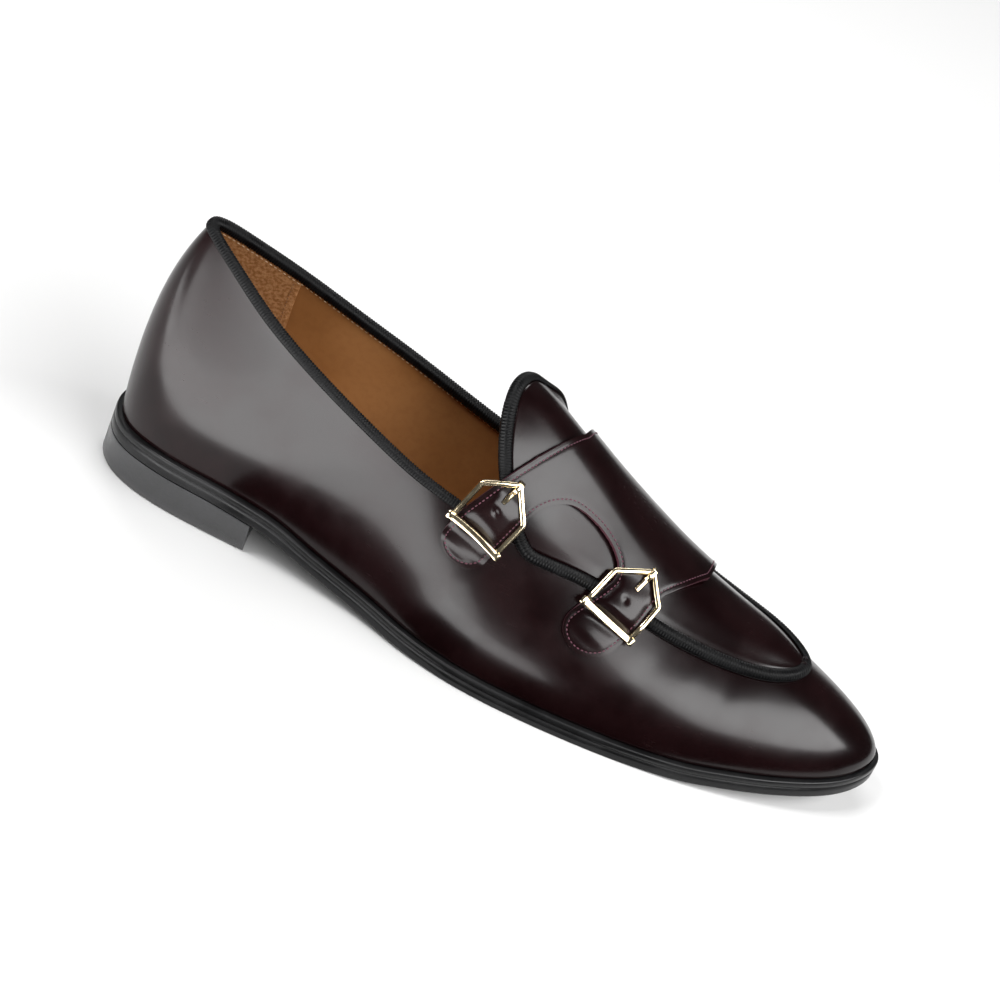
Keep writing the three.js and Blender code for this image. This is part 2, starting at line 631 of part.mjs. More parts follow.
const finish = (color, roughness, metalness = 0) =>
  new THREE.MeshStandardMaterial({ color, roughness, metalness });
const burgundyLeather = finish(0x2a0f14, 0.28);
const blackGrosgrain = finish(0x0c0c0e, 0.85);
const blackSole = finish(0x141416, 0.4);
const tanLining = finish(0x9a6c3c, 0.7);
const gold = finish(0xd8b46a, 0.25, 1);

const pieces = new THREE.Group();
function add(name, geometry, material) {
  const mesh = new THREE.Mesh(outward(geometry), material);
  mesh.name = name;
  pieces.add(mesh);
}
add('outsole', outsole(), blackSole);
add('heel', heel(), blackSole);
add('insole', insole(), tanLining);
add('upper', upper(), burgundyLeather);
add('apron', apron(), burgundyLeather);
add('apron_binding', apronBinding(), blackGrosgrain);
add('collar_binding', collarBinding(), blackGrosgrain);
add('saddle', saddle(), burgundyLeather);
BUCKLES.forEach((buckle) => {
  add(`buckle_frame_${buckle.name}`, buckleFrame(buckle), gold);
  add(`buckle_bar_${buckle.name}`, hingeBar(buckle), gold);
  add(`buckle_prong_${buckle.name}`, prong(buckle), gold);
});

// The origin is the middle of the footprint's box, on the ground.
const box = new THREE.Box3().setFromObject(pieces);
pieces.position.set(-(box.min.x + box.max.x) / 2, -(box.min.y + box.max.y) / 2, -box.min.z);

const shoe = new THREE.Group().add(pieces);
export default shoe;
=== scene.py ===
"""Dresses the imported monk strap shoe: leather, lining, bindings, sole, buckles, stitches, camera and light.

Shapes are worked out in millimetres on the shoe's last, as the part's source does, with the heel's back at x = 0.
They move into the frame, and to metres, as each mesh is made.
"""

import logging
import math
from dataclasses import dataclass
from enum import Enum
from typing import Callable, Optional

import bmesh
import bpy
import numpy as np
from mathutils import Matrix, Vector


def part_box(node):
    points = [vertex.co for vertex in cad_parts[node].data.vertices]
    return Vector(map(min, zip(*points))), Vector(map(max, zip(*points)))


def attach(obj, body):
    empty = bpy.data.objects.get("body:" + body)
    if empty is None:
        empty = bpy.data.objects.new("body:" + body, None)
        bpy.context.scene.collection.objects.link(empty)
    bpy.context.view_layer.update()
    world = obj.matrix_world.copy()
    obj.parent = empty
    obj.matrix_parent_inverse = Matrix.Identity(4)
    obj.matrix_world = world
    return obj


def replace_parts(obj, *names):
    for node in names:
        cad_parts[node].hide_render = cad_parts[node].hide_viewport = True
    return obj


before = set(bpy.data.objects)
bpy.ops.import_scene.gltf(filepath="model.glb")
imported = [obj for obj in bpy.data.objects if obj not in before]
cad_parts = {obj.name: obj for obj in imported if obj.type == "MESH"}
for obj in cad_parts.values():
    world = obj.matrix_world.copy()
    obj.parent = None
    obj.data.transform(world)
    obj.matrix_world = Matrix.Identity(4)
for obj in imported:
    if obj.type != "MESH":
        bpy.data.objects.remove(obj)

LOG = logging.getLogger("shoe")
Array = np.ndarray

MM = 1000

# Driving sizes of the part, in millimetres
LENGTH = 292.0
BALL_WIDTH = 92.0
HEEL_HEIGHT = 14.5
TOE_SPRING = 10.5
COLLAR_HEIGHT = 96.0
INSTEP_HEIGHT = 80.0
SOLE_THICKNESS = 6.5
FEATHER_INSET = 1.9
CLEARANCE = 0.35
WALL = 2.0
CORD_WIDTH = 3.6
CORD_HEIGHT = 2.2

# Fullness of a rib, as in the part's source
BAND_HANDLE = 0.32
CAP_HANDLE = 0.36
CROWN = 0.5

# Stations run round each side from the middle of the heel's back to the toe tip; a lap counts both sides.
TOE = 17
LAP = 2 * TOE
DENSITY = 48
SOFTENING = 0.3

SOLE = {
    "foot": (0, .009, .034, .082, .148, .226, .301, .370, .438, .514, .599, .685, .771, .846, .911, .962, .990, 1),
    "lateral": (0, .127, .234, .309, .338, .345, .357, .385, .451, .498, .504, .485, .443, .383, .304, .201, .087,
                -.022),
    "medial": (0, .127, .234, .303, .326, .310, .279, .273, .321, .397, .473, .498, .465, .393, .303, .207, .118,
               .022),
    "arch": (.90, .91, .96, 1.04, 1.06, .93, .53, .25, .07, .01, 0, 0, 0, 0, 0, 0, 0, 0),
    "spring": (0, 0, 0, 0, 0, 0, 0, 0, 0, 0, 0, 0, .06, .33, .60, .80, .93, .98),
}
RIBS = {
    "rim": (.033, .036, .051, .086, .147, .226, .301, .370, .438, .514, .599, .685, .767, .818, .845, .857, .862,
            .863),
    "half": (0, .033, .070, .124, .209, .268, .308, .330, .325, .314, .281, .256, .210, .159, .100, .054, .024, 0),
    "edge": (1.010, 1.006, .990, .944, .864, .775, .701, .634, .585, .539, .531, .460, .418, .406, .402, .402,
             .403, .404),
    "ridge": (1.12, 1.12, 1.12, 1.12, 1.12, 1.12, 1.12, 1.19, 1.15, 1.01, .826, .670, .586, .546, .514, .496, .488,
              .485),
    "bulge": (.024, .028, .037, .039, .043, .041, .039, .035, .030, .028, .028, .026, .025, .021, .015, .006, .001,
              -.001),
    "lift": (.36, .36, .34, .32, .31, .31, .31, .32, .33, .34, .36, .38, .39, .40, .41, .40, .39, .39),
    "lean": (25, 24, 22, 18, 14, 12, 12, 14, 19, 27, 38, 50, 60, 66, 69, 70, 70, 70),
}


class Slot(Enum):
    """The record's material slots."""

    LEATHER = "burgundy_leather"
    LINING = "lining"
    BINDING = "binding"
    SOLE = "sole_edge"
    GOLD = "gold"


def hermite(values: tuple, place: Array) -> Array:
    """Reads a table's column between its rows, without overshoot.

    Args:
        values: The column, a value for each row.
        place: Places counted in rows.

    Returns:
        The column's values at those places.
    """
    column = np.array(values, float)
    step = np.diff(column)
    before, after = step[:-1], step[1:]
    level = np.where(before * after <= 0, 1, before + after)
    slope = np.zeros(len(column))
    slope[1:-1] = np.where(before * after <= 0, 0, 2 * before * after / level)
    i = np.clip(np.floor(place).astype(int), 0, len(column) - 2)
    f = place - i
    return column[i] + f * f * (3 - 2 * f) * step[i] + f * (1 - f) * ((1 - f) * slope[i] - f * slope[i + 1])


def bezier(points: list, t: Array) -> Array:
    """Reads cubic Bezier curves.

    Args:
        points: Four arrays of control points, one curve for each row.
        t: A place on each curve, from 0 to 1.

    Returns:
        One point on each curve.
    """
    a, b, c, d = points
    t = t[..., None]
    s = 1 - t
    return s ** 3 * a + 3 * s * s * t * b + 3 * s * t * t * c + t ** 3 * d


def unit(vectors: Array) -> Array:
    """Vectors cut to length 1."""
    return vectors / np.maximum(np.linalg.norm(vectors, axis=-1, keepdims=True), 1e-12)


def smoothstep(value: Array, low: float, high: float) -> Array:
    """A soft step from 0 at low to 1 at high."""
    t = np.clip((value - low) / (high - low), 0, 1)
    return t * t * (3 - 2 * t)


def bell(distance: Array, width: float) -> Array:
    """A soft bump of height 1 that has died away at about twice its width."""
    return np.exp(-((distance / width) ** 2))


def station_of(lap: Array) -> Array:
    """The station that a lap coordinate stands at."""
    turned = np.mod(lap, LAP)
    return np.minimum(turned, LAP - turned)


class LapCurve:
    """A closed run of values round the shoe, softened so that polished leather over it shows no joins."""

    def __init__(self, samples: Array) -> None:
        """Softens the samples.

        Args:
            samples: Values at every 1/DENSITY of a station round the whole lap.
        """
        reach = int(4 * SOFTENING * DENSITY)
        weights = bell(np.arange(-reach, reach + 1) / DENSITY, SOFTENING * math.sqrt(2))
        weights /= weights.sum()
        around = np.concatenate([samples[-reach:], samples, samples[:reach]])
        self.samples = np.stack([np.convolve(column, weights, "valid") for column in around.T], axis=1)
        self.slopes = np.roll(self.samples, -1, axis=0) - np.roll(self.samples, 1, axis=0)

    @classmethod
    def through(cls, points: Array) -> "LapCurve":
        """A centripetal Catmull-Rom curve.

        Args:
            points: One point for each whole lap coordinate.

        Returns:
            The curve through them.
        """
        x0, x1, x2, x3 = (np.roll(points, shift, axis=0) for shift in (1, 0, -1, -2))
        d0, d1, d2 = (np.sqrt(np.linalg.norm(b - a, axis=1))[:, None] for a, b in ((x0, x1), (x1, x2), (x2, x3)))
        t1 = ((x1 - x0) / d0 - (x2 - x0) / (d0 + d1) + (x2 - x1) / d1) * d1
        t2 = ((x2 - x1) / d1 - (x3 - x1) / (d1 + d2) + (x3 - x2) / d2) * d1
        f = (np.arange(DENSITY) / DENSITY)[None, :, None]
        x1, x2, t1, t2 = (value[:, None, :] for value in (x1, x2, t1, t2))
        curve = x1 + t1 * f + (3 * (x2 - x1) - 2 * t1 - t2) * f ** 2 + (2 * (x1 - x2) + t1 + t2) * f ** 3
        return cls(curve.reshape(-1, 3))

    @classmethod
    def of_column(cls, values: tuple) -> "LapCurve":
        """The same column of a table on both sides of the shoe."""
        return cls(hermite(values, station_of(np.arange(LAP * DENSITY) / DENSITY))[:, None])

    def read(self, table: Array, lap: Array) -> Array:
        """Reads a table of samples at lap coordinates."""
        place = np.mod(lap, LAP) * DENSITY
        i = np.floor(place).astype(int)
        f = (place - i)[..., None]
        count = len(table)
        return table[i % count] * (1 - f) + table[(i + 1) % count] * f

    def at(self, lap: Array) -> Array:
        """The points at lap coordinates."""
        return self.read(self.samples, lap)

    def value(self, lap: Array) -> Array:
        """The single values of a column at lap coordinates."""
        return self.at(lap)[..., 0]

    def tangent(self, lap: Array) -> Array:
        """The directions in which the lap runs."""
        return unit(self.read(self.slopes, lap))

    def outwards(self, lap: Array) -> Array:
        """Level directions away from the shoe's middle."""
        along = self.tangent(lap)
        return unit(np.stack([along[..., 1], -along[..., 0], np.zeros(along.shape[:-1])], axis=-1))


@dataclass
class Spots:
    """Points on a surface with their outward normals."""

    at: Array
    normal: Array

    def raised(self, height: Array | float) -> Array:
        """The points moved out along their normals."""
        return self.at + self.normal * np.broadcast_to(height, self.at.shape[:-1])[..., None]


class Last:
    """The form that every leather piece lies on: lap round the shoe, level from sole edge to rim to ridge."""

    NEAR = 0.01
    NEAR_LAP = 0.05
    RIDGE_MARGIN = 0.03
    TIP = 0.5
    ON_MIDDLE = 1e-6
    GROUND_STEPS = 4
    GROUND_SOFTENING = 20

    def __init__(self) -> None:
        """Builds the curves of the tables."""
        laps = np.arange(LAP)
        rows = station_of(laps).astype(int)
        side = np.where(laps <= TOE, -1, 1)
        column = {name: np.array(values, float)[rows] for name, values in {**SOLE, **RIBS}.items()}
        width = np.where(laps <= TOE, -column["lateral"], column["medial"])
        zero = np.zeros(LAP)
        self.sole_line = LapCurve.through(np.stack([column["foot"] * LENGTH, width * BALL_WIDTH, zero], axis=1))
        self.rim_line = LapCurve.through(np.stack(
            [column["rim"] * LENGTH, side * column["half"] * BALL_WIDTH, column["edge"] * COLLAR_HEIGHT], axis=1))
        self.columns = {name: LapCurve.of_column(RIBS[name]) for name in ("ridge", "bulge", "lift", "lean")}
        stations = np.linspace(0, TOE, TOE * DENSITY + 1)
        self.foot = hermite(SOLE["foot"], stations) * LENGTH
        rise = HEEL_HEIGHT * hermite(SOLE["arch"], stations) + TOE_SPRING * hermite(SOLE["spring"], stations)
        even = np.linspace(0, LENGTH, self.GROUND_STEPS * int(LENGTH))
        level = np.interp(even, self.foot, rise)
        window = np.hanning(2 * self.GROUND_SOFTENING + 1)
        padded = np.pad(level, self.GROUND_SOFTENING, "edge")
        self.ground = (even, np.convolve(padded, window / window.sum(), "valid"))

    def underside(self, x: Array) -> Array:
        """Height of the sole's underside along the shoe."""
        return np.interp(x, *self.ground)

    def sole_point(self, lap: Array, inset: Array | float, height: Array | float) -> Array:
        """A point in from the sole's edge.

        Args:
            lap: Lap coordinates.
            inset: Distance in from the edge.
            height: Height over the sole's underside.

        Returns:
            The points.
        """
        inset = np.broadcast_to(inset, lap.shape)[..., None]
        point = self.sole_line.at(lap) - self.sole_line.outwards(lap) * inset
        point[..., 2] = self.underside(point[..., 0]) + height
        return point

    def point(self, lap: Array, level: Array) -> Array:
        """Points of the last.

        Args:
            lap: Lap coordinates.
            level: 0 at the sole's edge, 1 at the rim, 2 on the instep ridge.

        Returns:
            The points.
        """
        lap, level = np.broadcast_arrays(np.asarray(lap, float), np.asarray(level, float))
        rim = self.rim_line.at(lap)
        lean = np.radians(self.columns["lean"].value(lap))
        climb = -self.rim_line.outwards(lap) * np.sin(lean)[..., None]
        climb[..., 2] = np.cos(lean)
        foot = self.sole_point(lap, FEATHER_INSET, SOLE_THICKNESS + CLEARANCE)
        bulge = self.columns["bulge"].value(lap) * BALL_WIDTH
        swell = foot + self.sole_line.outwards(lap) * bulge[..., None]
        swell[..., 2] += self.columns["lift"].value(lap) * (rim[..., 2] - foot[..., 2])
        span = np.linalg.norm(rim - foot, axis=-1, keepdims=True)
        band = bezier([foot, swell, rim - climb * BAND_HANDLE * span, rim], np.clip(level, 0, 1))
        top = np.maximum(self.columns["ridge"].value(lap) * INSTEP_HEIGHT, rim[..., 2])
        ridge = np.stack([rim[..., 0], np.zeros(lap.shape), top], axis=-1)
        span = np.linalg.norm(ridge - rim, axis=-1, keepdims=True)
        beside = ridge.copy()
        beside[..., 1] = CROWN * rim[..., 1]
        cap = bezier([rim, rim + climb * CAP_HANDLE * span, beside, ridge], np.clip(level - 1, 0, 1))
        return np.where((level <= 1)[..., None], band, cap)

    def spots(self, lap: Array, level: Array) -> Spots:
        """Points of the last with their outward normals.

        Args:
            lap: Lap coordinates.
            level: Levels, as in point.

        Returns:
            The spots.
        """
        lap, level = np.broadcast_arrays(np.asarray(lap, float), np.asarray(level, float))
        station = station_of(lap)
        high = np.where(station > TOE - self.TIP, 1 - 2 * self.NEAR, 2 - self.RIDGE_MARGIN)
        near = np.clip(level, self.NEAR, high)
        up = self.point(lap, near + self.NEAR) - self.point(lap, near - self.NEAR)
        along = self.point(lap + self.NEAR_LAP, near) - self.point(lap - self.NEAR_LAP, near)
        normal = unit(np.cross(along, up))
        middle = (level > 2 - self.ON_MIDDLE) | (station > TOE - self.ON_MIDDLE)
        normal[..., 1] = np.where(middle, 0, normal[..., 1])
        return Spots(self.point(lap, level), unit(normal))


class Girths:
    """Girth along the leather from the instep ridge down to each level, on one side of the shoe."""

    STEP = 0.5
    REACH = 135.0
    STATIONS = (5.5, 14, 171)
    HALF_LEVELS = 64

    def __init__(self, last: Last, lateral: bool) -> None:
        """Measures the ribs that the saddle crosses.

        Args:
            last: The last.
            lateral: Whether this is the outer side.
        """
        self.stations = np.linspace(*self.STATIONS)
        lap = self.stations if lateral else LAP - self.stations
        levels = np.linspace(2, 0, 2 * self.HALF_LEVELS + 1)
        points = last.point(lap[:, None], levels[None, :])
        pieces = np.linalg.norm(np.diff(points, axis=1), axis=2)
        girths = np.concatenate([np.zeros((len(lap), 1)), np.cumsum(pieces, axis=1)], axis=1)
        grid = np.arange(0, self.REACH, self.STEP)
        self.levels = np.stack([np.interp(grid, row, levels) for row in girths])
        self.rim = girths[:, self.HALF_LEVELS]
        self.full = girths[:, -1]
        self.rim_x = last.rim_line.at(lap)[:, 0]

    def station(self, x: Array) -> Array:
        """The station at a place along the shoe."""
        return np.interp(x, self.rim_x, self.stations)

    def level(self, station: Array, girth: Array) -> Array:
        """The level at a girth."""
        row = np.clip((station - self.stations[0]) / (self.stations[1] - self.stations[0]), 0, len(self.rim) - 1.001)
        column = np.clip(girth / self.STEP, 0, self.levels.shape[1] - 1.001)
        i, j = row.astype(int), column.astype(int)
        f, g = row - i, column - j
        low = self.levels[i, j] * (1 - g) + self.levels[i, j + 1] * g
        high = self.levels[i + 1, j] * (1 - g) + self.levels[i + 1, j + 1] * g
        return low * (1 - f) + high * f


LAST = Last()
LOW_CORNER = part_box("outsole")[0]
SHIFT = np.array([LOW_CORNER.x * MM, LOW_CORNER.y * MM - LAST.sole_line.samples[:, 1].min(), 0])


def to_frame(points: Array) -> Array:
    """Points from the last's millimetres to the frame's metres."""
    return (points + SHIFT) / MM


class Sheet:
    """A mesh made of grids whose vertices are moved to their places, merged where the grids touch."""

    TOUCHING = 4e-6

    def __init__(self, name: str) -> None:
        """Starts an empty mesh.

        Args:
            name: The piece's name.
        """
        self.name = name
        self.bm = bmesh.new()
        self.uv = self.bm.loops.layers.uv.new("UVMap")

    def patch(self, columns: int, rows: int, place: Callable[[Array, Array], Spots], material: int = 0) -> "Sheet":
        """Adds one grid.

        Args:
            columns: Faces along u.
            rows: Faces along v.
            place: Gives the spots for u and v, which each run from 0 to 1.
            material: Index of the patch's material.

        Returns:
            The sheet itself.
        """
        made = bmesh.ops.create_grid(self.bm, x_segments=columns, y_segments=rows, size=0.5, calc_uvs=True)
        verts = made["verts"]
        flat = np.array([vert.co for vert in verts])
        spots = place(np.clip(flat[:, 0] + 0.5, 0, 1), np.clip(flat[:, 1] + 0.5, 0, 1))
        places = to_frame(spots.at)
        for vert, at in zip(verts, places.tolist()):
            vert.co = at
        order = {vert: i for i, vert in enumerate(verts)}
        faces = list({face for vert in verts for face in vert.link_faces})
        turn = 0.0
        for face in faces:
            face.normal_update()
            face.smooth = True
            face.material_index = material
            turn += face.normal.dot(Vector(spots.normal[order[face.verts[0]]])) * face.calc_area()
        if turn < 0:
            bmesh.ops.reverse_faces(self.bm, faces=faces)
        return self

    def close_ends(self) -> "Sheet":
        """Merges doubles, fills open ends and turns the faces outwards."""
        self.merge()
        open_edges = [edge for edge in self.bm.edges if edge.is_boundary]
        bmesh.ops.holes_fill(self.bm, edges=open_edges, sides=0)
        bmesh.ops.recalc_face_normals(self.bm, faces=self.bm.faces)
        return self

    def merge(self) -> "Sheet":
        """Merges the grids where they touch."""
        bmesh.ops.remove_doubles(self.bm, verts=self.bm.verts, dist=self.TOUCHING)
        return self

    def finish(self, slot: Slot, materials: list, sharp: Optional[float] = None) -> bpy.types.Object:
        """Makes the object and lets it ride on the shoe's body.

        Args:
            slot: The record's slot of the piece; not used.
            materials: The piece's materials, in the order of the patches' indices.
            sharp: Angle in degrees over which an edge is drawn sharp, if any.

        Returns:
            The new piece.
        """
        mesh = bpy.data.meshes.new(self.name)
        self.merge()
        self.bm.to_mesh(mesh)
        self.bm.free()
        if sharp is not None:
            mesh.set_sharp_from_angle(angle=math.radians(sharp))
        piece = bpy.data.objects.new(self.name, mesh)
        bpy.context.scene.collection.objects.link(piece)
        for material in materials:
            mesh.materials.append(material)
        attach(piece, "root")
        return piece


def thicken(piece: bpy.types.Object, thickness: float, rim: int = 0) -> None:
    """Gives a sheet its wall, inwards from its outer face.

    Args:
        piece: The sheet.
        thickness: The wall, in millimetres.
        rim: Steps from the face's material to that of its cut edges.
    """
    wall = piece.modifiers.new("Wall", "SOLIDIFY")
    wall.thickness = thickness / MM
    wall.offset = -1
    wall.use_even_offset = False
    wall.material_offset_rim = rim


CUT_EDGE_ANGLE = 50


def soften_edges(piece: bpy.types.Object, width: float, segments: int = 2) -> None:
    """Rounds a wall's cut edges.

    Args:
        piece: The piece.
        width: The rounding, in millimetres.
        segments: Steps of the rounding.
    """
    bevel = piece.modifiers.new("Edges", "BEVEL")
    bevel.width = width / MM
    bevel.segments = segments
    bevel.limit_method = "ANGLE"
    bevel.angle_limit = math.radians(CUT_EDGE_ANGLE)


def sweep(sheet: Sheet, stops: tuple, section: Array, closed: bool, relief: Optional[Array] = None) -> Sheet:
    """Sweeps a closed section along stops.

    Args:
        sheet: The sheet that takes the patch.
        stops: Arrays of places, of axes across and of axes up.
        section: Rows of across and up, going round the section.
        closed: Whether the stops are a loop.
        relief: For each stop, how much the section's third column is added along its own outward direction.

    Returns:
        The sheet.
    """
    at, across, up = stops
    count, around = len(at), len(section)
    outline = section[:, :2]
    middle = outline.mean(axis=0)
    ring = np.roll(outline, -1, axis=0) - np.roll(outline, 1, axis=0)
    out = unit(np.stack([ring[:, 1], -ring[:, 0]], axis=1))
    if np.einsum("ij,ij->", out, outline - middle) < 0:
        out = -out
    weight = section[:, 2] if section.shape[1] > 2 else np.zeros(around)
    depth = np.zeros(count) if relief is None else relief

    def place(u: Array, v: Array) -> Spots:
        """Spots of the swept skin."""
        i = np.rint(u * (count if closed else count - 1)).astype(int) % count
        j = np.rint(v * around).astype(int) % around
        flat = outline[j] + out[j] * (weight[j] * depth[i])[:, None]
        skin = at[i] + across[i] * flat[:, :1] + up[i] * flat[:, 1:]
        return Spots(skin, unit(across[i] * out[j][:, :1] + up[i] * out[j][:, 1:]))

    return sheet.patch(count if closed else count - 1, around, place)


def resample(points: Array, spacing: float, closed: bool) -> Array:
    """Points at even steps along a polyline.

    Args:
        points: The polyline.
        spacing: The wanted step.
        closed: Whether the last point joins the first.

    Returns:
        The new points, without a repeat of the first one on a loop.
    """
    line = np.concatenate([points, points[:1]]) if closed else points
    run = np.concatenate([[0], np.cumsum(np.linalg.norm(np.diff(line, axis=0), axis=1))])
    count = max(int(round(run[-1] / spacing)), 2)
    places = np.linspace(0, run[-1], count + 1)
    if closed:
        places = places[:-1]
    return np.stack([np.interp(places, run, column) for column in line.T], axis=1)


def round_off(points: Array, steps: int, closed: bool) -> Array:
    """Softens an evenly spaced line over a number of its steps."""
    reach = 2 * steps
    weights = bell(np.arange(-reach, reach + 1), steps)
    weights /= weights.sum()
    if closed:
        padded = np.concatenate([points[-reach:], points, points[:reach]])
    else:
        head = 2 * points[0] - points[reach:0:-1]
        tail = 2 * points[-1] - points[-2:-reach - 2:-1]
        padded = np.concatenate([head, points, tail])
    return np.stack([np.convolve(column, weights, "valid") for column in padded.T], axis=1)


class Tree:
    """Adds nodes to one shader tree."""

    def __init__(self, tree: bpy.types.NodeTree) -> None:
        """Keeps the tree.

        Args:
            tree: The tree to fill.
        """
        self.tree = tree

    def add(self, kind: str, inputs: Optional[dict] = None, **settings: object) -> bpy.types.Node:
        """Adds a node.

        Args:
            kind: The node's type.
            inputs: Values or output sockets by the name or number of each input.
            **settings: The node's own properties.

        Returns:
            The node.
        """
        node = self.tree.nodes.new(kind)
        for name, value in settings.items():
            setattr(node, name, value)
        for name, value in (inputs or {}).items():
            if isinstance(value, bpy.types.NodeSocket):
                self.tree.links.new(value, node.inputs[name])
            else:
                node.inputs[name].default_value = value
        return node

    def maths(self, operation: str, first: object, second: object = 0.0, clamp: bool = False) -> object:
        """The output socket of a Math node."""
        return self.add("ShaderNodeMath", {0: first, 1: second}, operation=operation, use_clamp=clamp).outputs[0]

    def ramp(self, value: object, low: float, high: float, start: float = 0.0, end: float = 1.0) -> object:
        """The output socket of a soft Map Range node."""
        limits = {"Value": value, "From Min": low, "From Max": high, "To Min": start, "To Max": end}
        return self.add("ShaderNodeMapRange", limits, interpolation_type="SMOOTHSTEP").outputs[0]

    def blend(self, mask: object, first: object, second: object) -> object:
        """The output socket of a colour mix."""
        node = self.add("ShaderNodeMix", data_type="RGBA")
        for index, value in ((0, mask), (6, first), (7, second)):
            if isinstance(value, bpy.types.NodeSocket):
                self.tree.links.new(value, node.inputs[index])
            else:
                node.inputs[index].default_value = value
        return node.outputs[2]


def new_group(name: str, inputs: dict, outputs: dict) -> tuple:
    """Starts a shader node group.

    Args:
        name: The group's name.
        inputs: Default values by input name; a tuple is a vector.
        outputs: Socket types by output name.

    Returns:
        The group, its tree writer, and the nodes that hold its inputs and outputs.
    """
    group = bpy.data.node_groups.new(name, "ShaderNodeTree")
    for label, value in inputs.items():
        kind = "NodeSocketVector" if isinstance(value, tuple) else "NodeSocketFloat"
        group.interface.new_socket(label, in_out="INPUT", socket_type=kind).default_value = value
    for label, kind in outputs.items():
        group.interface.new_socket(label, in_out="OUTPUT", socket_type=kind)
    tree = Tree(group)
    return group, tree, tree.add("NodeGroupInput"), tree.add("NodeGroupOutput")


# Bands of noise in which a mask comes up, and sizes of the noises.
CLOUD_BAND = (0.34, 0.66)
FLECK_BAND = (0.42, 0.66)
FLECKS_TO_A_CLOUD = 14.0
PORE_SHARE = 0.6
SWELL_SCALE = 130.0
SCRATCH_TURN = (0.5, 0.2, 0.6)
SCRATCH_STRETCH = (45.0, 1100.0, 1100.0)
SCRATCH_BAND = (0.66, 0.72)
RUBBED_SCALE = 38.0
RUBBED_BAND = (0.52, 0.66)
EDGE_BAND = (0.51, 0.58)


def mottle_group() -> bpy.types.NodeTree:
    """Cloudy change of tone at two sizes, as dye takes in leather or cloth."""
    group, tree, given, out = new_group(
        "Mottle", {"Vector": (0.0, 0.0, 0.0), "Size": 20.0}, {"Cloud": "NodeSocketFloat", "Fleck": "NodeSocketFloat"})
    scale = tree.maths("DIVIDE", float(MM), given.outputs["Size"])
    cloud = tree.add("ShaderNodeTexNoise", {"Vector": given.outputs["Vector"], "Scale": scale, "Detail": 3.0})
    fine = tree.maths("MULTIPLY", scale, FLECKS_TO_A_CLOUD)
    fleck = tree.add("ShaderNodeTexNoise", {"Vector": given.outputs["Vector"], "Scale": fine, "Detail": 4.0})
    group.links.new(tree.ramp(cloud.outputs["Fac"], *CLOUD_BAND), out.inputs["Cloud"])
    group.links.new(tree.ramp(fleck.outputs["Fac"], *FLECK_BAND), out.inputs["Fleck"])
    return group


def grain_group() -> bpy.types.NodeTree:
    """Fine pores over soft unevenness, as a height in millimetres."""
    group, tree, given, out = new_group(
        "Grain", {"Vector": (0.0, 0.0, 0.0), "Pore": 0.45, "Depth": 0.01, "Swell": 0.03},
        {"Height": "NodeSocketFloat"})
    scale = tree.maths("DIVIDE", float(MM), given.outputs["Pore"])
    pores = tree.add("ShaderNodeTexVoronoi", {"Vector": given.outputs["Vector"], "Scale": scale},
                     feature="SMOOTH_F1")
    fibre = tree.add("ShaderNodeTexNoise", {"Vector": given.outputs["Vector"], "Scale": scale, "Detail": 5.0})
    swell = tree.add("ShaderNodeTexNoise", {"Vector": given.outputs["Vector"], "Scale": SWELL_SCALE, "Detail": 2.0})
    small = tree.maths("ADD", tree.maths("MULTIPLY", pores.outputs["Distance"], PORE_SHARE), fibre.outputs["Fac"])
    height = tree.maths("ADD", tree.maths("MULTIPLY", small, given.outputs["Depth"]),
                        tree.maths("MULTIPLY", swell.outputs["Fac"], given.outputs["Swell"]))
    group.links.new(height, out.inputs["Height"])
    return group


def scuff_group() -> bpy.types.NodeTree:
    """Sparse faint scratches and rubbed places, as a mask."""
    group, tree, given, out = new_group(
        "Scuffs", {"Vector": (0.0, 0.0, 0.0), "Amount": 0.3}, {"Mask": "NodeSocketFloat"})
    turned = tree.add("ShaderNodeMapping", {"Vector": given.outputs["Vector"], "Rotation": SCRATCH_TURN,
                                            "Scale": SCRATCH_STRETCH})
    lines = tree.add("ShaderNodeTexNoise", {"Vector": turned.outputs["Vector"], "Scale": 1.0, "Detail": 2.0})
    where = tree.add("ShaderNodeTexNoise", {"Vector": given.outputs["Vector"], "Scale": RUBBED_SCALE, "Detail": 2.0})
    thin = tree.ramp(lines.outputs["Fac"], *SCRATCH_BAND)
    patch = tree.ramp(where.outputs["Fac"], *RUBBED_BAND)
    mask = tree.maths("MULTIPLY", tree.maths("MULTIPLY", thin, patch), given.outputs["Amount"])
    group.links.new(mask, out.inputs["Mask"])
    return group


def edge_group() -> bpy.types.NodeTree:
    """Where a form turns sharply outwards, as a mask."""
    group, tree, given, out = new_group("EdgeRub", {"Amount": 0.5}, {"Mask": "NodeSocketFloat"})
    shape = tree.add("ShaderNodeNewGeometry")
    mask = tree.ramp(shape.outputs["Pointiness"], *EDGE_BAND)
    group.links.new(tree.maths("MULTIPLY", mask, given.outputs["Amount"]), out.inputs["Mask"])
    return group


def new_material(name: str) -> tuple:
    """A new material without nodes, and the writer of its tree."""
    material = bpy.data.materials.new(name)
    material.use_nodes = True
    material.node_tree.nodes.clear()
    return material, Tree(material.node_tree)


GROUPS = {"mottle": mottle_group(), "grain": grain_group(), "scuffs": scuff_group(), "edges": edge_group()}


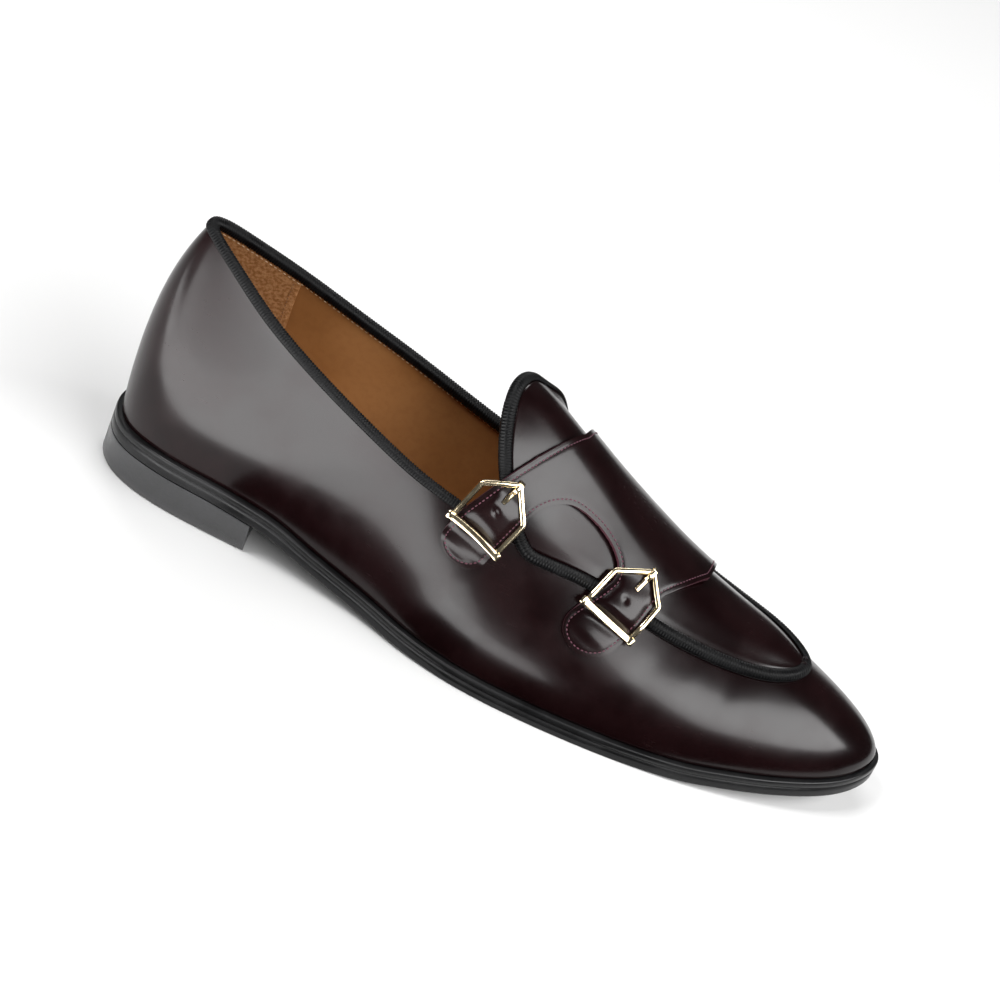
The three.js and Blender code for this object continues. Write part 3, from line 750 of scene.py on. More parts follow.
@dataclass(frozen=True)
class Finish:
    """A leather, lining, paint, thread, cloth or sole finish."""

    FLECK_SHADE = 0.45
    WORN_ROUGHNESS = 0.25

    name: str
    deep: tuple
    light: tuple
    roughness: float
    pore: float = 0.45
    depth: float = 0.01
    swell: float = 0.03
    cloud: float = 20.0
    fleck: float = 0.25
    scuffs: float = 0.0
    rub: float = 0.0
    rubbed: tuple = (0.2, 0.1, 0.08)
    specular: float = 0.5
    coat: float = 0.0
    coat_roughness: float = 0.15
    sheen: float = 0.0
    sheen_roughness: float = 0.5
    rough_change: float = 0.08

    def build(self) -> bpy.types.Material:
        """Makes the material."""
        material, tree = new_material(self.name)
        coords = tree.add("ShaderNodeTexCoord").outputs["Object"]
        mottle, grain, scuffs, edges = (tree.add("ShaderNodeGroup", node_tree=GROUPS[name])
                                        for name in ("mottle", "grain", "scuffs", "edges"))
        for node in (mottle, grain, scuffs):
            material.node_tree.links.new(coords, node.inputs["Vector"])
        mottle.inputs["Size"].default_value = self.cloud
        grain.inputs["Pore"].default_value = self.pore
        grain.inputs["Depth"].default_value = self.depth
        grain.inputs["Swell"].default_value = self.swell
        scuffs.inputs["Amount"].default_value = self.scuffs
        edges.inputs["Amount"].default_value = self.rub
        colour = tree.blend(mottle.outputs["Cloud"], (*self.deep, 1), (*self.light, 1))
        fleck = tree.maths("MULTIPLY", mottle.outputs["Fleck"], self.fleck)
        colour = tree.blend(fleck, colour, (*(self.FLECK_SHADE * value for value in self.deep), 1))
        worn = tree.maths("ADD", scuffs.outputs["Mask"], edges.outputs["Mask"], clamp=True)
        colour = tree.blend(worn, colour, (*self.rubbed, 1))
        low, high = self.roughness - self.rough_change, self.roughness + self.rough_change
        rough = tree.ramp(mottle.outputs["Cloud"], 0.0, 1.0, low, high)
        rough = tree.maths("ADD", rough, tree.maths("MULTIPLY", worn, self.WORN_ROUGHNESS), clamp=True)
        bump = tree.add("ShaderNodeBump", {"Height": grain.outputs["Height"], "Distance": 1 / MM, "Strength": 1.0})
        shader = tree.add("ShaderNodeBsdfPrincipled", {
            "Base Color": colour, "Roughness": rough, "Normal": bump.outputs["Normal"],
            "Specular IOR Level": self.specular, "Coat Weight": self.coat, "Coat Roughness": self.coat_roughness,
            "Sheen Weight": self.sheen, "Sheen Roughness": self.sheen_roughness})
        tree.add("ShaderNodeOutputMaterial", {"Surface": shader.outputs["BSDF"]})
        return material


@dataclass(frozen=True)
class Metal:
    """A plated metal finish with fine polishing marks."""

    CLOUD = 6.0
    SCUFFS = 0.5
    DULLED = 0.5
    CLOUD_ROUGHNESS = 0.06
    SCUFF_ROUGHNESS = 0.3
    MARKS = {"Scale": 2600.0, "Detail": 2.0}
    MARK_BUMP = {"Distance": 0.00001, "Strength": 0.4}

    name: str
    colour: tuple
    dull: tuple
    roughness: float

    def build(self) -> bpy.types.Material:
        """Makes the material."""
        material, tree = new_material(self.name)
        coords = tree.add("ShaderNodeTexCoord").outputs["Object"]
        mottle = tree.add("ShaderNodeGroup", {"Vector": coords}, node_tree=GROUPS["mottle"])
        mottle.inputs["Size"].default_value = self.CLOUD
        scuffs = tree.add("ShaderNodeGroup", {"Vector": coords}, node_tree=GROUPS["scuffs"])
        scuffs.inputs["Amount"].default_value = self.SCUFFS
        dulled = tree.maths("MULTIPLY", mottle.outputs["Fleck"], self.DULLED)
        colour = tree.blend(dulled, (*self.colour, 1), (*self.dull, 1))
        clouded = tree.maths("MULTIPLY", mottle.outputs["Cloud"], self.CLOUD_ROUGHNESS)
        scuffed = tree.maths("MULTIPLY", scuffs.outputs["Mask"], self.SCUFF_ROUGHNESS)
        rough = tree.maths("ADD", clouded, tree.maths("ADD", scuffed, self.roughness))
        marks = tree.add("ShaderNodeTexNoise", {"Vector": coords, **self.MARKS})
        bump = tree.add("ShaderNodeBump", {"Height": marks.outputs["Fac"], **self.MARK_BUMP})
        shader = tree.add("ShaderNodeBsdfPrincipled", {
            "Base Color": colour, "Roughness": rough, "Metallic": 1.0, "Normal": bump.outputs["Normal"]})
        tree.add("ShaderNodeOutputMaterial", {"Surface": shader.outputs["BSDF"]})
        return material


OXBLOOD = Finish("oxblood_box_leather", (0.0034, 0.0007, 0.0009), (0.0062, 0.0013, 0.0016), 0.23, pore=0.42,
                 depth=0.005, swell=0.016, cloud=26, fleck=0.2, scuffs=0.08, rub=0.0, rubbed=(0.055, 0.03, 0.028),
                 specular=0.26, coat=0.10, coat_roughness=0.12, rough_change=0.04)
EDGE_PAINT = Finish("burgundy_edge_paint", (0.032, 0.0055, 0.011), (0.052, 0.010, 0.019), 0.42, pore=0.3,
                    depth=0.02, cloud=5, rub=0.3, rubbed=(0.09, 0.03, 0.04))
THREAD = Finish("burgundy_thread", (0.060, 0.009, 0.022), (0.105, 0.020, 0.043), 0.6, pore=0.18, depth=0.03,
                cloud=2, fleck=0.5, sheen=0.1)
TAN_LINING = Finish("tan_lining_leather", (0.265, 0.110, 0.034), (0.310, 0.136, 0.045), 0.55, pore=0.5, depth=0.01,
                    swell=0.02, cloud=34, fleck=0.12, specular=0.2)
SUEDE = Finish("brown_suede", (0.260, 0.110, 0.036), (0.460, 0.225, 0.095), 0.95, pore=0.4, depth=0.10, swell=0.08,
               cloud=1.2, fleck=0.5, specular=0.05, sheen=0.03)
LINING_THREAD = Finish("tan_thread", (0.55, 0.36, 0.20), (0.70, 0.50, 0.31), 0.7, pore=0.18, depth=0.03, cloud=2)
COUNTER_THREAD = Finish("brown_thread", (0.20, 0.085, 0.030), (0.28, 0.13, 0.05), 0.7, pore=0.18, depth=0.03, cloud=2)
GROSGRAIN = Finish("black_grosgrain", (0.0020, 0.0020, 0.0023), (0.0042, 0.0042, 0.0046), 0.46, pore=0.16,
                   depth=0.02, swell=0.0, cloud=7, fleck=0.4, specular=0.14, sheen=0.0)
SOLE_BLACK = Finish("black_sole_edge", (0.0045, 0.0045, 0.0048), (0.0085, 0.0085, 0.0090), 0.36, pore=0.7,
                    depth=0.012, swell=0.05, cloud=16, fleck=0.35, scuffs=0.25, rub=0.10,
                    rubbed=(0.05, 0.05, 0.052), specular=0.26, coat=0.05, coat_roughness=0.2)
# The heel's black is a lighter copy of the sole's black. The lift in its colour is painted sheen; its stronger specular
# and coat are real gloss.
HEEL_BLACK_WITH_PAINTED_SHEEN = Finish("black_heel_block_with_painted_sheen", (0.016, 0.016, 0.017), (0.026, 0.026, 0.028), 0.34, pore=0.7,
                    depth=0.010, swell=0.04, cloud=16, fleck=0.3, scuffs=0.25, rub=0.08,
                    rubbed=(0.07, 0.07, 0.072), specular=0.6, coat=0.2, coat_roughness=0.2)
SOLE_TREAD = Finish("black_sole_underside", (0.006, 0.006, 0.006), (0.011, 0.011, 0.011), 0.7, pore=0.8,
                    depth=0.05, cloud=12, scuffs=0.3, rubbed=(0.04, 0.04, 0.04))
PALE_GOLD = Metal("pale_gold_plate", (0.93, 0.79, 0.54), (0.78, 0.62, 0.38), 0.13)


@dataclass
class SoleUnit:
    """Outsole, heel and the sock that lies on the insole."""

    per_station: int = 12
    strip: int = 14
    shelf: float = 3.4
    dish_power: int = 5
    heel_length: float = 63.0
    heel_foot: float = 0.86
    heel_steps: int = 60
    heel_middle: tuple = (30, 0, 7)
    heel_wall: tuple = ((0, .9), (.02, .25), (.06, 0), (.3, 0), (.6, 0), (.85, 0), (.955, 0), (.98, 0), (1, .12))
    heel_search: int = 6
    breast_hollow: float = 1.6
    breast_power: int = 6
    sock_inset: float = 4.6
    sock_thickness: float = 2.6
    sock_dish: float = 0.9
    edge: tuple = ((.6, 0), (.22, .06), (.06, .22), (0, .5), (0, 2.1), (0, 3.72), (.2, 3.86),
                   (.2, 4.14), (0, 4.28), (0, 5.35), (.05, 5.85), (.25, 6.3), (.62, 6.5), (3.4, 6.5))

    def deck(self, inset: float, height: float, dish: float = 0.0) -> Callable[[Array, Array], Spots]:
        """A level skin between the two sides of the sole.

        Args:
            inset: Distance in from the sole's edge.
            height: Height over the underside.
            dish: How much higher the skin stands at its edge.

        Returns:
            The place function of a patch.
        """
        facing = 1.0 if height > 1 else -1.0

        def place(u: Array, v: Array) -> Spots:
            """Spots of the deck."""
            station = u * TOE
            outer = LAST.sole_point(station, inset, 0.0)
            inner = LAST.sole_point(LAP - station, inset, 0.0)
            at = outer * (1 - v[:, None]) + inner * v[:, None]
            at[:, 2] = LAST.underside(at[:, 0]) + height + dish * np.abs(2 * v - 1) ** self.dish_power
            return Spots(at, np.tile([0, 0, facing], (len(u), 1)))

        return place

    def wall(self, profile: tuple, dish: float = 0.0) -> Callable[[Array, Array], Spots]:
        """The skin round the edge.

        Args:
            profile: Insets and heights, from the bottom up.
            dish: Extra height of the last row.

        Returns:
            The place function of a patch.
        """
        insets, heights = (np.array(column, float) for column in zip(*profile))

        def place(u: Array, v: Array) -> Spots:
            """Spots of the wall."""
            row = np.rint(v * (len(insets) - 1)).astype(int)
            at = LAST.sole_point(u * LAP, insets[row], heights[row] + dish * (row == len(insets) - 1))
            return Spots(at, LAST.sole_line.outwards(u * LAP))

        return place

    def outsole(self) -> bpy.types.Object:
        """Makes the outsole with its grooved edge."""
        steps = TOE * self.per_station
        sheet = Sheet("outsole_edge_and_tread")
        sheet.patch(2 * steps, len(self.edge) - 1, self.wall(self.edge))
        sheet.patch(steps, self.strip, self.deck(self.shelf, SOLE_THICKNESS))
        sheet.patch(steps, self.strip, self.deck(self.edge[0][0], 0.0), material=1)
        piece = sheet.finish(Slot.SOLE, [SOLE_BLACK.build(), SOLE_TREAD.build()])
        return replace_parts(piece, "outsole")

    def sock(self) -> bpy.types.Object:
        """Makes the sock lining over the insole."""
        steps = TOE * self.per_station // 2
        bottom = SOLE_THICKNESS + CLEARANCE
        top = bottom + self.sock_thickness
        profile = ((self.sock_inset + .2, bottom), (self.sock_inset, bottom + .3), (self.sock_inset, top - .1),
                   (self.sock_inset + .5, top))
        sheet = Sheet("sock_lining")
        sheet.patch(2 * steps, len(profile) - 1, self.wall(profile, self.sock_dish))
        sheet.patch(steps, self.strip, self.deck(profile[-1][0], top, self.sock_dish))
        sheet.patch(steps, self.strip, self.deck(profile[0][0], bottom))
        sheet.merge()
        bmesh.ops.recalc_face_normals(sheet.bm, faces=sheet.bm.faces)
        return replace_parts(sheet.finish(Slot.LINING, [TAN_LINING.build()]), "insole")

    def heel_point(self, share: Array, side: Array, rise: Array, inset: Array) -> Array:
        """A point of the heel block.

        Args:
            share: 0 at the back of the heel, 1 at its breast.
            side: -1 on the lateral face, 1 on the medial one.
            rise: 0 on the ground, 1 at the seat.
            inset: Distance in from the sole's edge.

        Returns:
            The points.
        """
        laps = np.arange(0, self.heel_search, 1 / DENSITY)
        lateral = np.interp(self.heel_length, LAST.sole_line.at(laps)[:, 0], laps)
        medial = np.interp(self.heel_length, LAST.sole_line.at(LAP - laps)[:, 0], laps)
        outer = LAST.sole_point(share * lateral, inset, -CLEARANCE)
        inner = LAST.sole_point(LAP - share * medial, inset, -CLEARANCE)
        across = (side[:, None] + 1) / 2
        at = outer * (1 - across) + inner * across
        at[:, 0] -= self.breast_hollow * (1 - side ** 2) * share ** self.breast_power
        top = LAST.underside(at[:, 0]) - CLEARANCE
        at[:, 1] *= self.heel_foot + (1 - self.heel_foot) * rise
        at[:, 2] = top * rise
        return at

    def heel(self) -> bpy.types.Object:
        """Makes the heel block."""
        rises, insets = (np.array(column) for column in zip(*self.heel_wall))
        rows = len(rises) - 1

        def side_wall(u: Array, v: Array) -> Spots:
            """Spots round the back of the heel."""
            row = np.rint(v * rows).astype(int)
            turn = 2 * u - 1
            at = self.heel_point(np.abs(turn), np.where(turn < 0, -1.0, 1.0), rises[row], insets[row])
            return Spots(at, unit(at - self.heel_middle))

        def breast(u: Array, v: Array) -> Spots:
            """Spots of the front face."""
            row = np.rint(v * rows).astype(int)
            at = self.heel_point(np.ones(len(u)), 2 * u - 1, rises[row], insets[row])
            return Spots(at, np.tile([1, 0, 0], (len(u), 1)))

        def lid(row: int, facing: float) -> Callable[[Array, Array], Spots]:
            """The place function of the top or bottom face."""
            def place(u: Array, v: Array) -> Spots:
                """Spots of the lid."""
                level = np.full(len(u), rises[row])
                at = self.heel_point(u, 2 * v - 1, level, np.full(len(u), insets[row]))
                return Spots(at, np.tile([0, 0, facing], (len(u), 1)))
            return place

        sheet = Sheet("heel_block")
        sheet.patch(2 * self.heel_steps, rows, side_wall)
        sheet.patch(self.strip, rows, breast)
        sheet.patch(self.heel_steps, self.strip, lid(0, -1), material=1)
        sheet.patch(self.heel_steps, self.strip, lid(rows, 1))
        piece = sheet.finish(Slot.SOLE, [HEEL_BLACK_WITH_PAINTED_SHEEN.build(), SOLE_TREAD.build()], sharp=CUT_EDGE_ANGLE)
        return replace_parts(piece, "heel")

    def build(self) -> list:
        """Makes the unit's pieces."""
        return [self.outsole(), self.heel(), self.sock()]


# Creases and dents of the upper: from one station and level to another, half width and height in millimetres.
CREASES = (
    (1, 11.4, .93, 10.9, .30, 4.2, -.07),
    (1, 11.9, .93, 11.5, .35, 4.0, .05),
    (1, 12.5, .92, 12.2, .42, 4.0, -.05),
    (-1, 11.3, .93, 10.8, .30, 4.2, -.09),
    (-1, 11.8, .93, 11.4, .35, 4.0, .06),
    (-1, 12.4, .92, 12.1, .42, 4.0, -.06),
    (1, 8.6, .72, 7.6, .22, 8.0, -.45),
    (-1, 8.4, .80, 7.6, .25, 8.0, -.40),
    (1, 5.6, .93, 4.2, .45, 7.0, -.30),
    (-1, 5.4, .93, 4.2, .45, 7.0, -.30),
    (1, 2.6, .55, 1.7, .25, 6.0, .18),
)
STATION_SPAN = 21.0
LEVEL_SPAN = 66.0
CREASE_START = 0.12


def creased(lap: Array, level: Array) -> Array:
    """Height of the upper's soft troughs and ridges.

    Args:
        lap: Lap coordinates.
        level: Levels.

    Returns:
        Heights in millimetres.
    """
    side = np.where(np.mod(lap, LAP) <= TOE, 1, -1)
    place = np.stack([station_of(lap) * STATION_SPAN, level * LEVEL_SPAN], axis=-1)
    total = np.zeros(lap.shape)
    for row_side, station0, level0, station1, level1, width, height in CREASES:
        start = np.array([station0 * STATION_SPAN, level0 * LEVEL_SPAN])
        run = np.array([station1 * STATION_SPAN, level1 * LEVEL_SPAN]) - start
        share = np.clip(((place - start) @ run) / (run @ run), 0, 1)
        away = np.linalg.norm(place - start - share[..., None] * run, axis=-1)
        fade = np.sin(math.pi * np.clip(CREASE_START + (1 - 2 * CREASE_START) * share, 0, 1))
        total += np.where(side == row_side, height * bell(away, width) * fade, 0)
    return total


@dataclass
class Upper:
    """The burgundy upper, its lining, the heel's suede and their stitches."""

    per_station: int = 12
    band_rows: int = 46
    cap_rows: int = 22
    throat: float = 9.0
    leather: float = 1.25
    lining: float = 0.65
    suede: float = 0.45
    counter_end: float = 3.95
    counter_low: float = 0.05
    counter_high: float = 0.977
    air: float = 0.05
    stitch_drop: float = 3.5
    seam_depth: float = 44.0
    seam_inset: float = 0.12
    row_ends: tuple = (-9.0, 8.7)
    lining_pitch: float = 2.0
    lining_stitch: tuple = (1.3, 0.42, 0.3)
    counter_pitch: float = 1.8
    counter_stitch: tuple = (1.2, 0.4, 0.26)
    counter_grid: tuple = (96, 36)
    counter_edge: float = 0.15
    rim_step: float = 0.05

    def hollow(self, sheet: Sheet, height: float, facing: float, creases: float) -> Sheet:
        """Adds the upper's three grids.

        Args:
            sheet: The sheet that takes them.
            height: Offset from the last.
            facing: 1 for an outer face, -1 for an inner one.
            creases: How much of the creases shows.

        Returns:
            The sheet.
        """
        def band(u: Array, v: Array) -> Spots:
            """Spots from the sole's edge to the rim."""
            spots = LAST.spots(u * LAP, v)
            return Spots(spots.raised(height + creases * creased(u * LAP, v)), spots.normal * facing)

        def cap(lateral: bool) -> Callable[[Array, Array], Spots]:
            """The place function from the rim to the ridge."""
            def place(u: Array, v: Array) -> Spots:
                """Spots of the cap."""
                station = self.throat + u * (TOE - self.throat)
                lap = station if lateral else LAP - station
                spots = LAST.spots(lap, 1 + v)
                lift = height + creases * creased(lap, np.ones(len(u)))
                return Spots(spots.raised(lift), spots.normal * facing)
            return place

        sheet.patch(LAP * self.per_station, self.band_rows, band)
        columns = int((TOE - self.throat) * self.per_station)
        for lateral in (True, False):
            sheet.patch(columns, self.cap_rows, cap(lateral))
        return sheet

    def inside(self, lap: Array, drop: Array | float, height: float) -> Spots:
        """Spots on the lining.

        Args:
            lap: Lap coordinates.
            drop: Distance below the rim.
            height: Offset from the last, below zero inside.

        Returns:
            The spots, facing the foot.
        """
        rim, below = (LAST.point(lap, np.full(lap.shape, level)) for level in (1.0, 1.0 - self.rim_step))
        rate = np.linalg.norm(rim - below, axis=-1) / self.rim_step
        spots = LAST.spots(lap, 1 - drop / rate)
        return Spots(spots.raised(height), -spots.normal)

    def build(self) -> list:
        """Makes the upper's pieces."""
        leather = self.hollow(Sheet("upper_leather"), 0.0, 1.0, 1.0).finish(Slot.LEATHER, [OXBLOOD.build()])
        thicken(leather, self.leather)
        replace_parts(leather, "upper")
        lining = self.hollow(Sheet("quarter_lining"), -WALL, -1.0, 0.5).finish(Slot.LINING, [TAN_LINING.build()])
        thicken(lining, self.lining)
        inner = -WALL - self.suede - self.air

        def counter_place(u: Array, v: Array) -> Spots:
            """Spots of the suede round the heel."""
            lap = (2 * u - 1) * self.counter_end
            spots = LAST.spots(lap, self.counter_low + (self.counter_high - self.counter_low) * v)
            return Spots(spots.raised(inner), -spots.normal)

        counter = Sheet("suede_heel_lining").patch(*self.counter_grid, counter_place).finish(
            Slot.LINING, [SUEDE.build()])
        thicken(counter, self.suede)
        soften_edges(counter, self.counter_edge, 1)
        pieces = [leather, lining, counter]
        span = np.linspace(*self.row_ends, 1400)
        behind = np.abs(span) < self.counter_end
        row = self.inside(span, self.stitch_drop, 0.0)
        depth = np.where(behind, inner, -WALL)
        row = Spots(row.at + row.normal * -depth[:, None], row.normal)
        pieces.append(stitches("lining_stitches", row, self.lining_pitch, self.lining_stitch,
                               LINING_THREAD.build(), Slot.LINING))
        for side, name in ((-1, "lateral"), (1, "medial")):
            drops = np.linspace(self.stitch_drop + 1, self.seam_depth, 200)
            seam = self.inside(np.full(200, side * (self.counter_end - self.seam_inset)), drops, inner)
            pieces.append(stitches(f"counter_stitches_{name}", seam, self.counter_pitch, self.counter_stitch,
                                   COUNTER_THREAD.build(), Slot.LINING))
        return pieces


def stitches(name: str, line: Spots, pitch: float, size: tuple, material: bpy.types.Material,
             slot: Slot) -> bpy.types.Object:
    """Lays a row of thread stitches along a line as one joined mesh.

    Args:
        name: The piece's name.
        line: Spots along the row.
        pitch: Distance from stitch to stitch, in millimetres.
        size: Length, width and height of a stitch, in millimetres.
        material: The thread.
        slot: The record's slot; not used.

    Returns:
        The row.
    """
    rows = resample(np.concatenate([line.at, line.normal], axis=1), pitch / 2, False)
    sheet = Sheet(name)
    for i in range(1, len(rows) - 1, 2):
        along = unit(rows[i + 1, :3] - rows[i - 1, :3])
        up = unit(rows[i, 3:])
        across = unit(np.cross(up, along))
        up = np.cross(along, across)
        turn = Matrix([[*axis] for axis in np.stack([along, across, up], axis=1)]).to_4x4()
        scale = Matrix.Diagonal([*(value / (2 * MM) for value in size), 1])
        place = Matrix.Translation(to_frame(rows[i, :3] + up * size[2] * STITCH_SINKING))
        bmesh.ops.create_uvsphere(sheet.bm, u_segments=8, v_segments=6, radius=1, matrix=place @ turn @ scale)
    for face in sheet.bm.faces:
        face.smooth = True
    return sheet.finish(slot, [material])


STITCH_SINKING = 0.25
RIB_SHAPE = (0.0, 0.8, 1.0, 0.8)
RIB_STEPS = len(RIB_SHAPE)


def ribs(count: int, closed: bool) -> Array:
    """Rise and fall of a ribbed cloth, four stops to a rib."""
    height = np.array(RIB_SHAPE)[np.arange(count) % RIB_STEPS]
    return height if closed else np.where(np.arange(count) > count - 2, 0, height)


@dataclass
class CollarBinding:
    """The ribbed binding folded over the collar's edge."""

    pitch: float = 1.0
    rib: float = 0.34
    lateral_end: float = 8.75
    medial_end: float = 9.1
    drop: float = 1.8
    skin: float = 0.5
    gap: float = 0.3
    inner_gap: float = 0.3
    flare: float = 0.12
    arch: float = 1.0
    arch_skin: float = 0.6
    first_rib: float = 0.3

    def section(self) -> Array:
        """Across and up round the folded cloth; the third column says where its ribs show."""
        outer = self.gap + self.skin
        inner = WALL + self.inner_gap + self.skin
        middle = (outer - inner) / 2
        reach = (outer + inner) / 2
        legs = np.linspace(-self.drop, 0, 5)
        turn = np.radians(np.linspace(0, 180, 9))[1:-1]
        rows = [(outer + self.flare * (h / -self.drop), h, 1.0) for h in legs]
        rows += [(middle + reach * math.cos(t), self.arch * math.sin(t), 1.0) for t in turn]
        rows += [(-inner - self.flare * (h / -self.drop), h, 1.0) for h in legs[::-1]]
        hollow = [(-inner + self.skin - self.flare * (h / -self.drop), h, 0.0) for h in legs[:4]]
        hollow += [(middle + (reach - self.skin) * math.cos(t), (self.arch - self.arch_skin) * math.sin(t), 0.0)
                   for t in np.radians([150, 90, 30])]
        hollow += [(outer - self.skin + self.flare * (h / -self.drop), h, 0.0) for h in legs[3::-1]]
        rows[0] = (rows[0][0], rows[0][1], self.first_rib)
        return np.array(rows + hollow)

    def build(self) -> list:
        """Makes the binding."""
        laps = np.linspace(-self.medial_end, self.lateral_end, 3000)
        points = LAST.rim_line.at(laps)
        run = np.concatenate([[0], np.cumsum(np.linalg.norm(np.diff(points, axis=0), axis=1))])
        count = int(run[-1] / self.pitch) * RIB_STEPS + 1
        laps = np.interp(np.linspace(0, run[-1], count), run, laps)
        spots = LAST.spots(laps, np.ones(count))
        along = LAST.rim_line.tangent(laps)
        up = -unit(np.cross(along, spots.normal))
        sheet = sweep(Sheet("collar_ribbed_binding"), (spots.at, spots.normal, up), self.section(), False,
                      self.rib * ribs(count, False))
        piece = sheet.close_ends().finish(Slot.BINDING, [GROSGRAIN.build()])
        return [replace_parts(piece, "collar_binding")]


# The tongue's end: where its crown stands, and how its two halves fall back to their corners.
TONGUE_TIP = 7.92
TONGUE_CROWN = -0.113
TONGUE_LATERAL = (9.1, 1.95)
TONGUE_MEDIAL = (9.4, 1.6)
# How far its medial half opens flat (0 follows the last, 1 is level across), and where that begins and ends.
TONGUE_FLATNESS = 0.72
TONGUE_OPENS = ((0.1, 0.6), (0.76, 1.0))
TONGUE_CLOSES = (8.3, 9.0)


def tongue_station(side: Array) -> Array:
    """Where the tongue's end stands, from -1 at its lateral corner to 1 at its medial one."""
    away = side - TONGUE_CROWN
    share = np.abs(away) / np.where(away < 0, 1 + TONGUE_CROWN, 1 - TONGUE_CROWN)
    corner, power = (np.where(away < 0, low, high) for low, high in zip(TONGUE_LATERAL, TONGUE_MEDIAL))
    return TONGUE_TIP + (corner - TONGUE_TIP) * share ** power


def apron_spots(side: Array, along: Array) -> Spots:
    """Spots of the last under the apron.

    Args:
        side: -1 at the lateral edge, 1 at the medial one.
        along: 0 at the tongue's end, 1 at the toe.

    Returns:
        The spots.
    """
    station = tongue_station(side) * (1 - along) + TOE * along
    spots = LAST.spots(np.where(side < 0, station, LAP - station), 2 - np.abs(side))
    crest = LAST.point(station, np.full(station.shape, 2.0))[:, 2]
    opened = smoothstep(side, *TONGUE_OPENS[0]) * (1 - smoothstep(side, *TONGUE_OPENS[1]))
    at = spots.at.copy()
    at[:, 2] += TONGUE_FLATNESS * opened * (1 - smoothstep(station, *TONGUE_CLOSES)) * (crest - at[:, 2])
    return Spots(at, spots.normal)


@dataclass
class Apron:
    """The apron and its free tongue, lined, with the ribbed cord round both."""

    columns: int = 60
    rows: int = 130
    thickness: float = 1.5
    lining: float = 0.3
    lining_end: float = 0.2
    lining_width: float = 0.97
    lining_lift: float = 0.06
    sinking: float = 0.25
    sinks_from: float = 0.86
    pitch: float = 1.0
    rib: float = 0.34
    lip: float = 0.4
    cord_ease: float = 0.15
    rounding: int = 10
    side_samples: int = 400
    end_samples: int = 300
    lining_rows: int = 24

    def cord_line(self) -> Array:
        """The apron's edge as an even closed line of places and normals."""
        ends = np.linspace(0, 1, self.side_samples)
        lateral = apron_spots(np.full(self.side_samples, -1.0), ends)
        medial = apron_spots(np.full(self.side_samples, 1.0), ends[::-1])
        tongue = apron_spots(np.linspace(1, -1, self.end_samples), np.zeros(self.end_samples))
        loop = np.concatenate([np.concatenate([part.at, part.normal], axis=1)[:-1]
                               for part in (lateral, medial, tongue)])
        run = np.linalg.norm(np.diff(np.concatenate([loop, loop[:1]])[:, :3], axis=0), axis=1)
        count = int(run.sum() / self.pitch) * RIB_STEPS
        places = np.linspace(0, run.sum(), count, endpoint=False)
        reach = np.concatenate([[0], np.cumsum(run)])
        closed = np.concatenate([loop, loop[:1]])
        line = np.stack([np.interp(places, reach, column) for column in closed.T], axis=1)
        return round_off(line, self.rounding, True)

    def section(self) -> Array:
        """The cord's domed section, by offsets from its two sides, its top and its base, and where its ribs show."""
        near, far = -self.lip, self.cord_ease + CORD_WIDTH
        top, base = CLEARANCE + CORD_HEIGHT, CLEARANCE
        rows = [(near + .1, CLEARANCE + self.thickness + .05, 0.2), (near + .15, top - .25, 0.9),
                (near + .6, top + .02, 1), (near + 1.5, top + .2, 1), (near + 2.5, top + .25, 1),
                (far - 1.3, top + .02, 1), (far - .55, top - .5, 1), (far - .12, base + .9, 0.9), (far, base, 0.4),
                (far - .9, base, 0), (near + 1.3, base, 0), (near + 1.2, CLEARANCE + self.thickness, 0)]
        return np.array(rows)

    def leather(self) -> bpy.types.Object:
        """Makes the apron with its tongue."""
        def place(u: Array, v: Array) -> Spots:
            """Spots of the outer face."""
            spots = apron_spots(2 * u - 1, v)
            sunk = self.sinking * smoothstep(np.abs(2 * u - 1), self.sinks_from, 1.0)
            return Spots(spots.raised(CLEARANCE + self.thickness - sunk), spots.normal)

        piece = Sheet("apron_and_tongue").patch(self.columns, self.rows, place).finish(
            Slot.LEATHER, [OXBLOOD.build()])
        thicken(piece, self.thickness - self.lining)
        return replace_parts(piece, "apron")

    def tongue_lining(self) -> bpy.types.Object:
        """Makes the lining behind the tongue."""
        def place(u: Array, v: Array) -> Spots:
            """Spots of the face towards the foot."""
            spots = apron_spots((2 * u - 1) * self.lining_width, v * self.lining_end)
            return Spots(spots.raised(self.lining_lift), -spots.normal)

        piece = Sheet("tongue_lining").patch(self.columns, self.lining_rows, place).finish(
            Slot.LINING, [TAN_LINING.build()])
        thicken(piece, self.lining)
        return piece

    def cord(self) -> bpy.types.Object:
        """Makes the ribbed cord."""
        line = self.cord_line()
        at, normal = line[:, :3], unit(line[:, 3:])
        along = np.roll(at, -1, axis=0) - np.roll(at, 1, axis=0)
        across = unit(np.cross(along, normal))
        sheet = sweep(Sheet("apron_ribbed_binding"), (at, across, normal), self.section(), True,
                      self.rib * ribs(len(at), True))
        sheet.merge()
        bmesh.ops.recalc_face_normals(sheet.bm, faces=sheet.bm.faces)
        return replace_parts(sheet.finish(Slot.BINDING, [GROSGRAIN.build()]), "apron_binding")

    def build(self) -> list:
        """Makes the apron's pieces."""
        return [self.leather(), self.tongue_lining(), self.cord()]


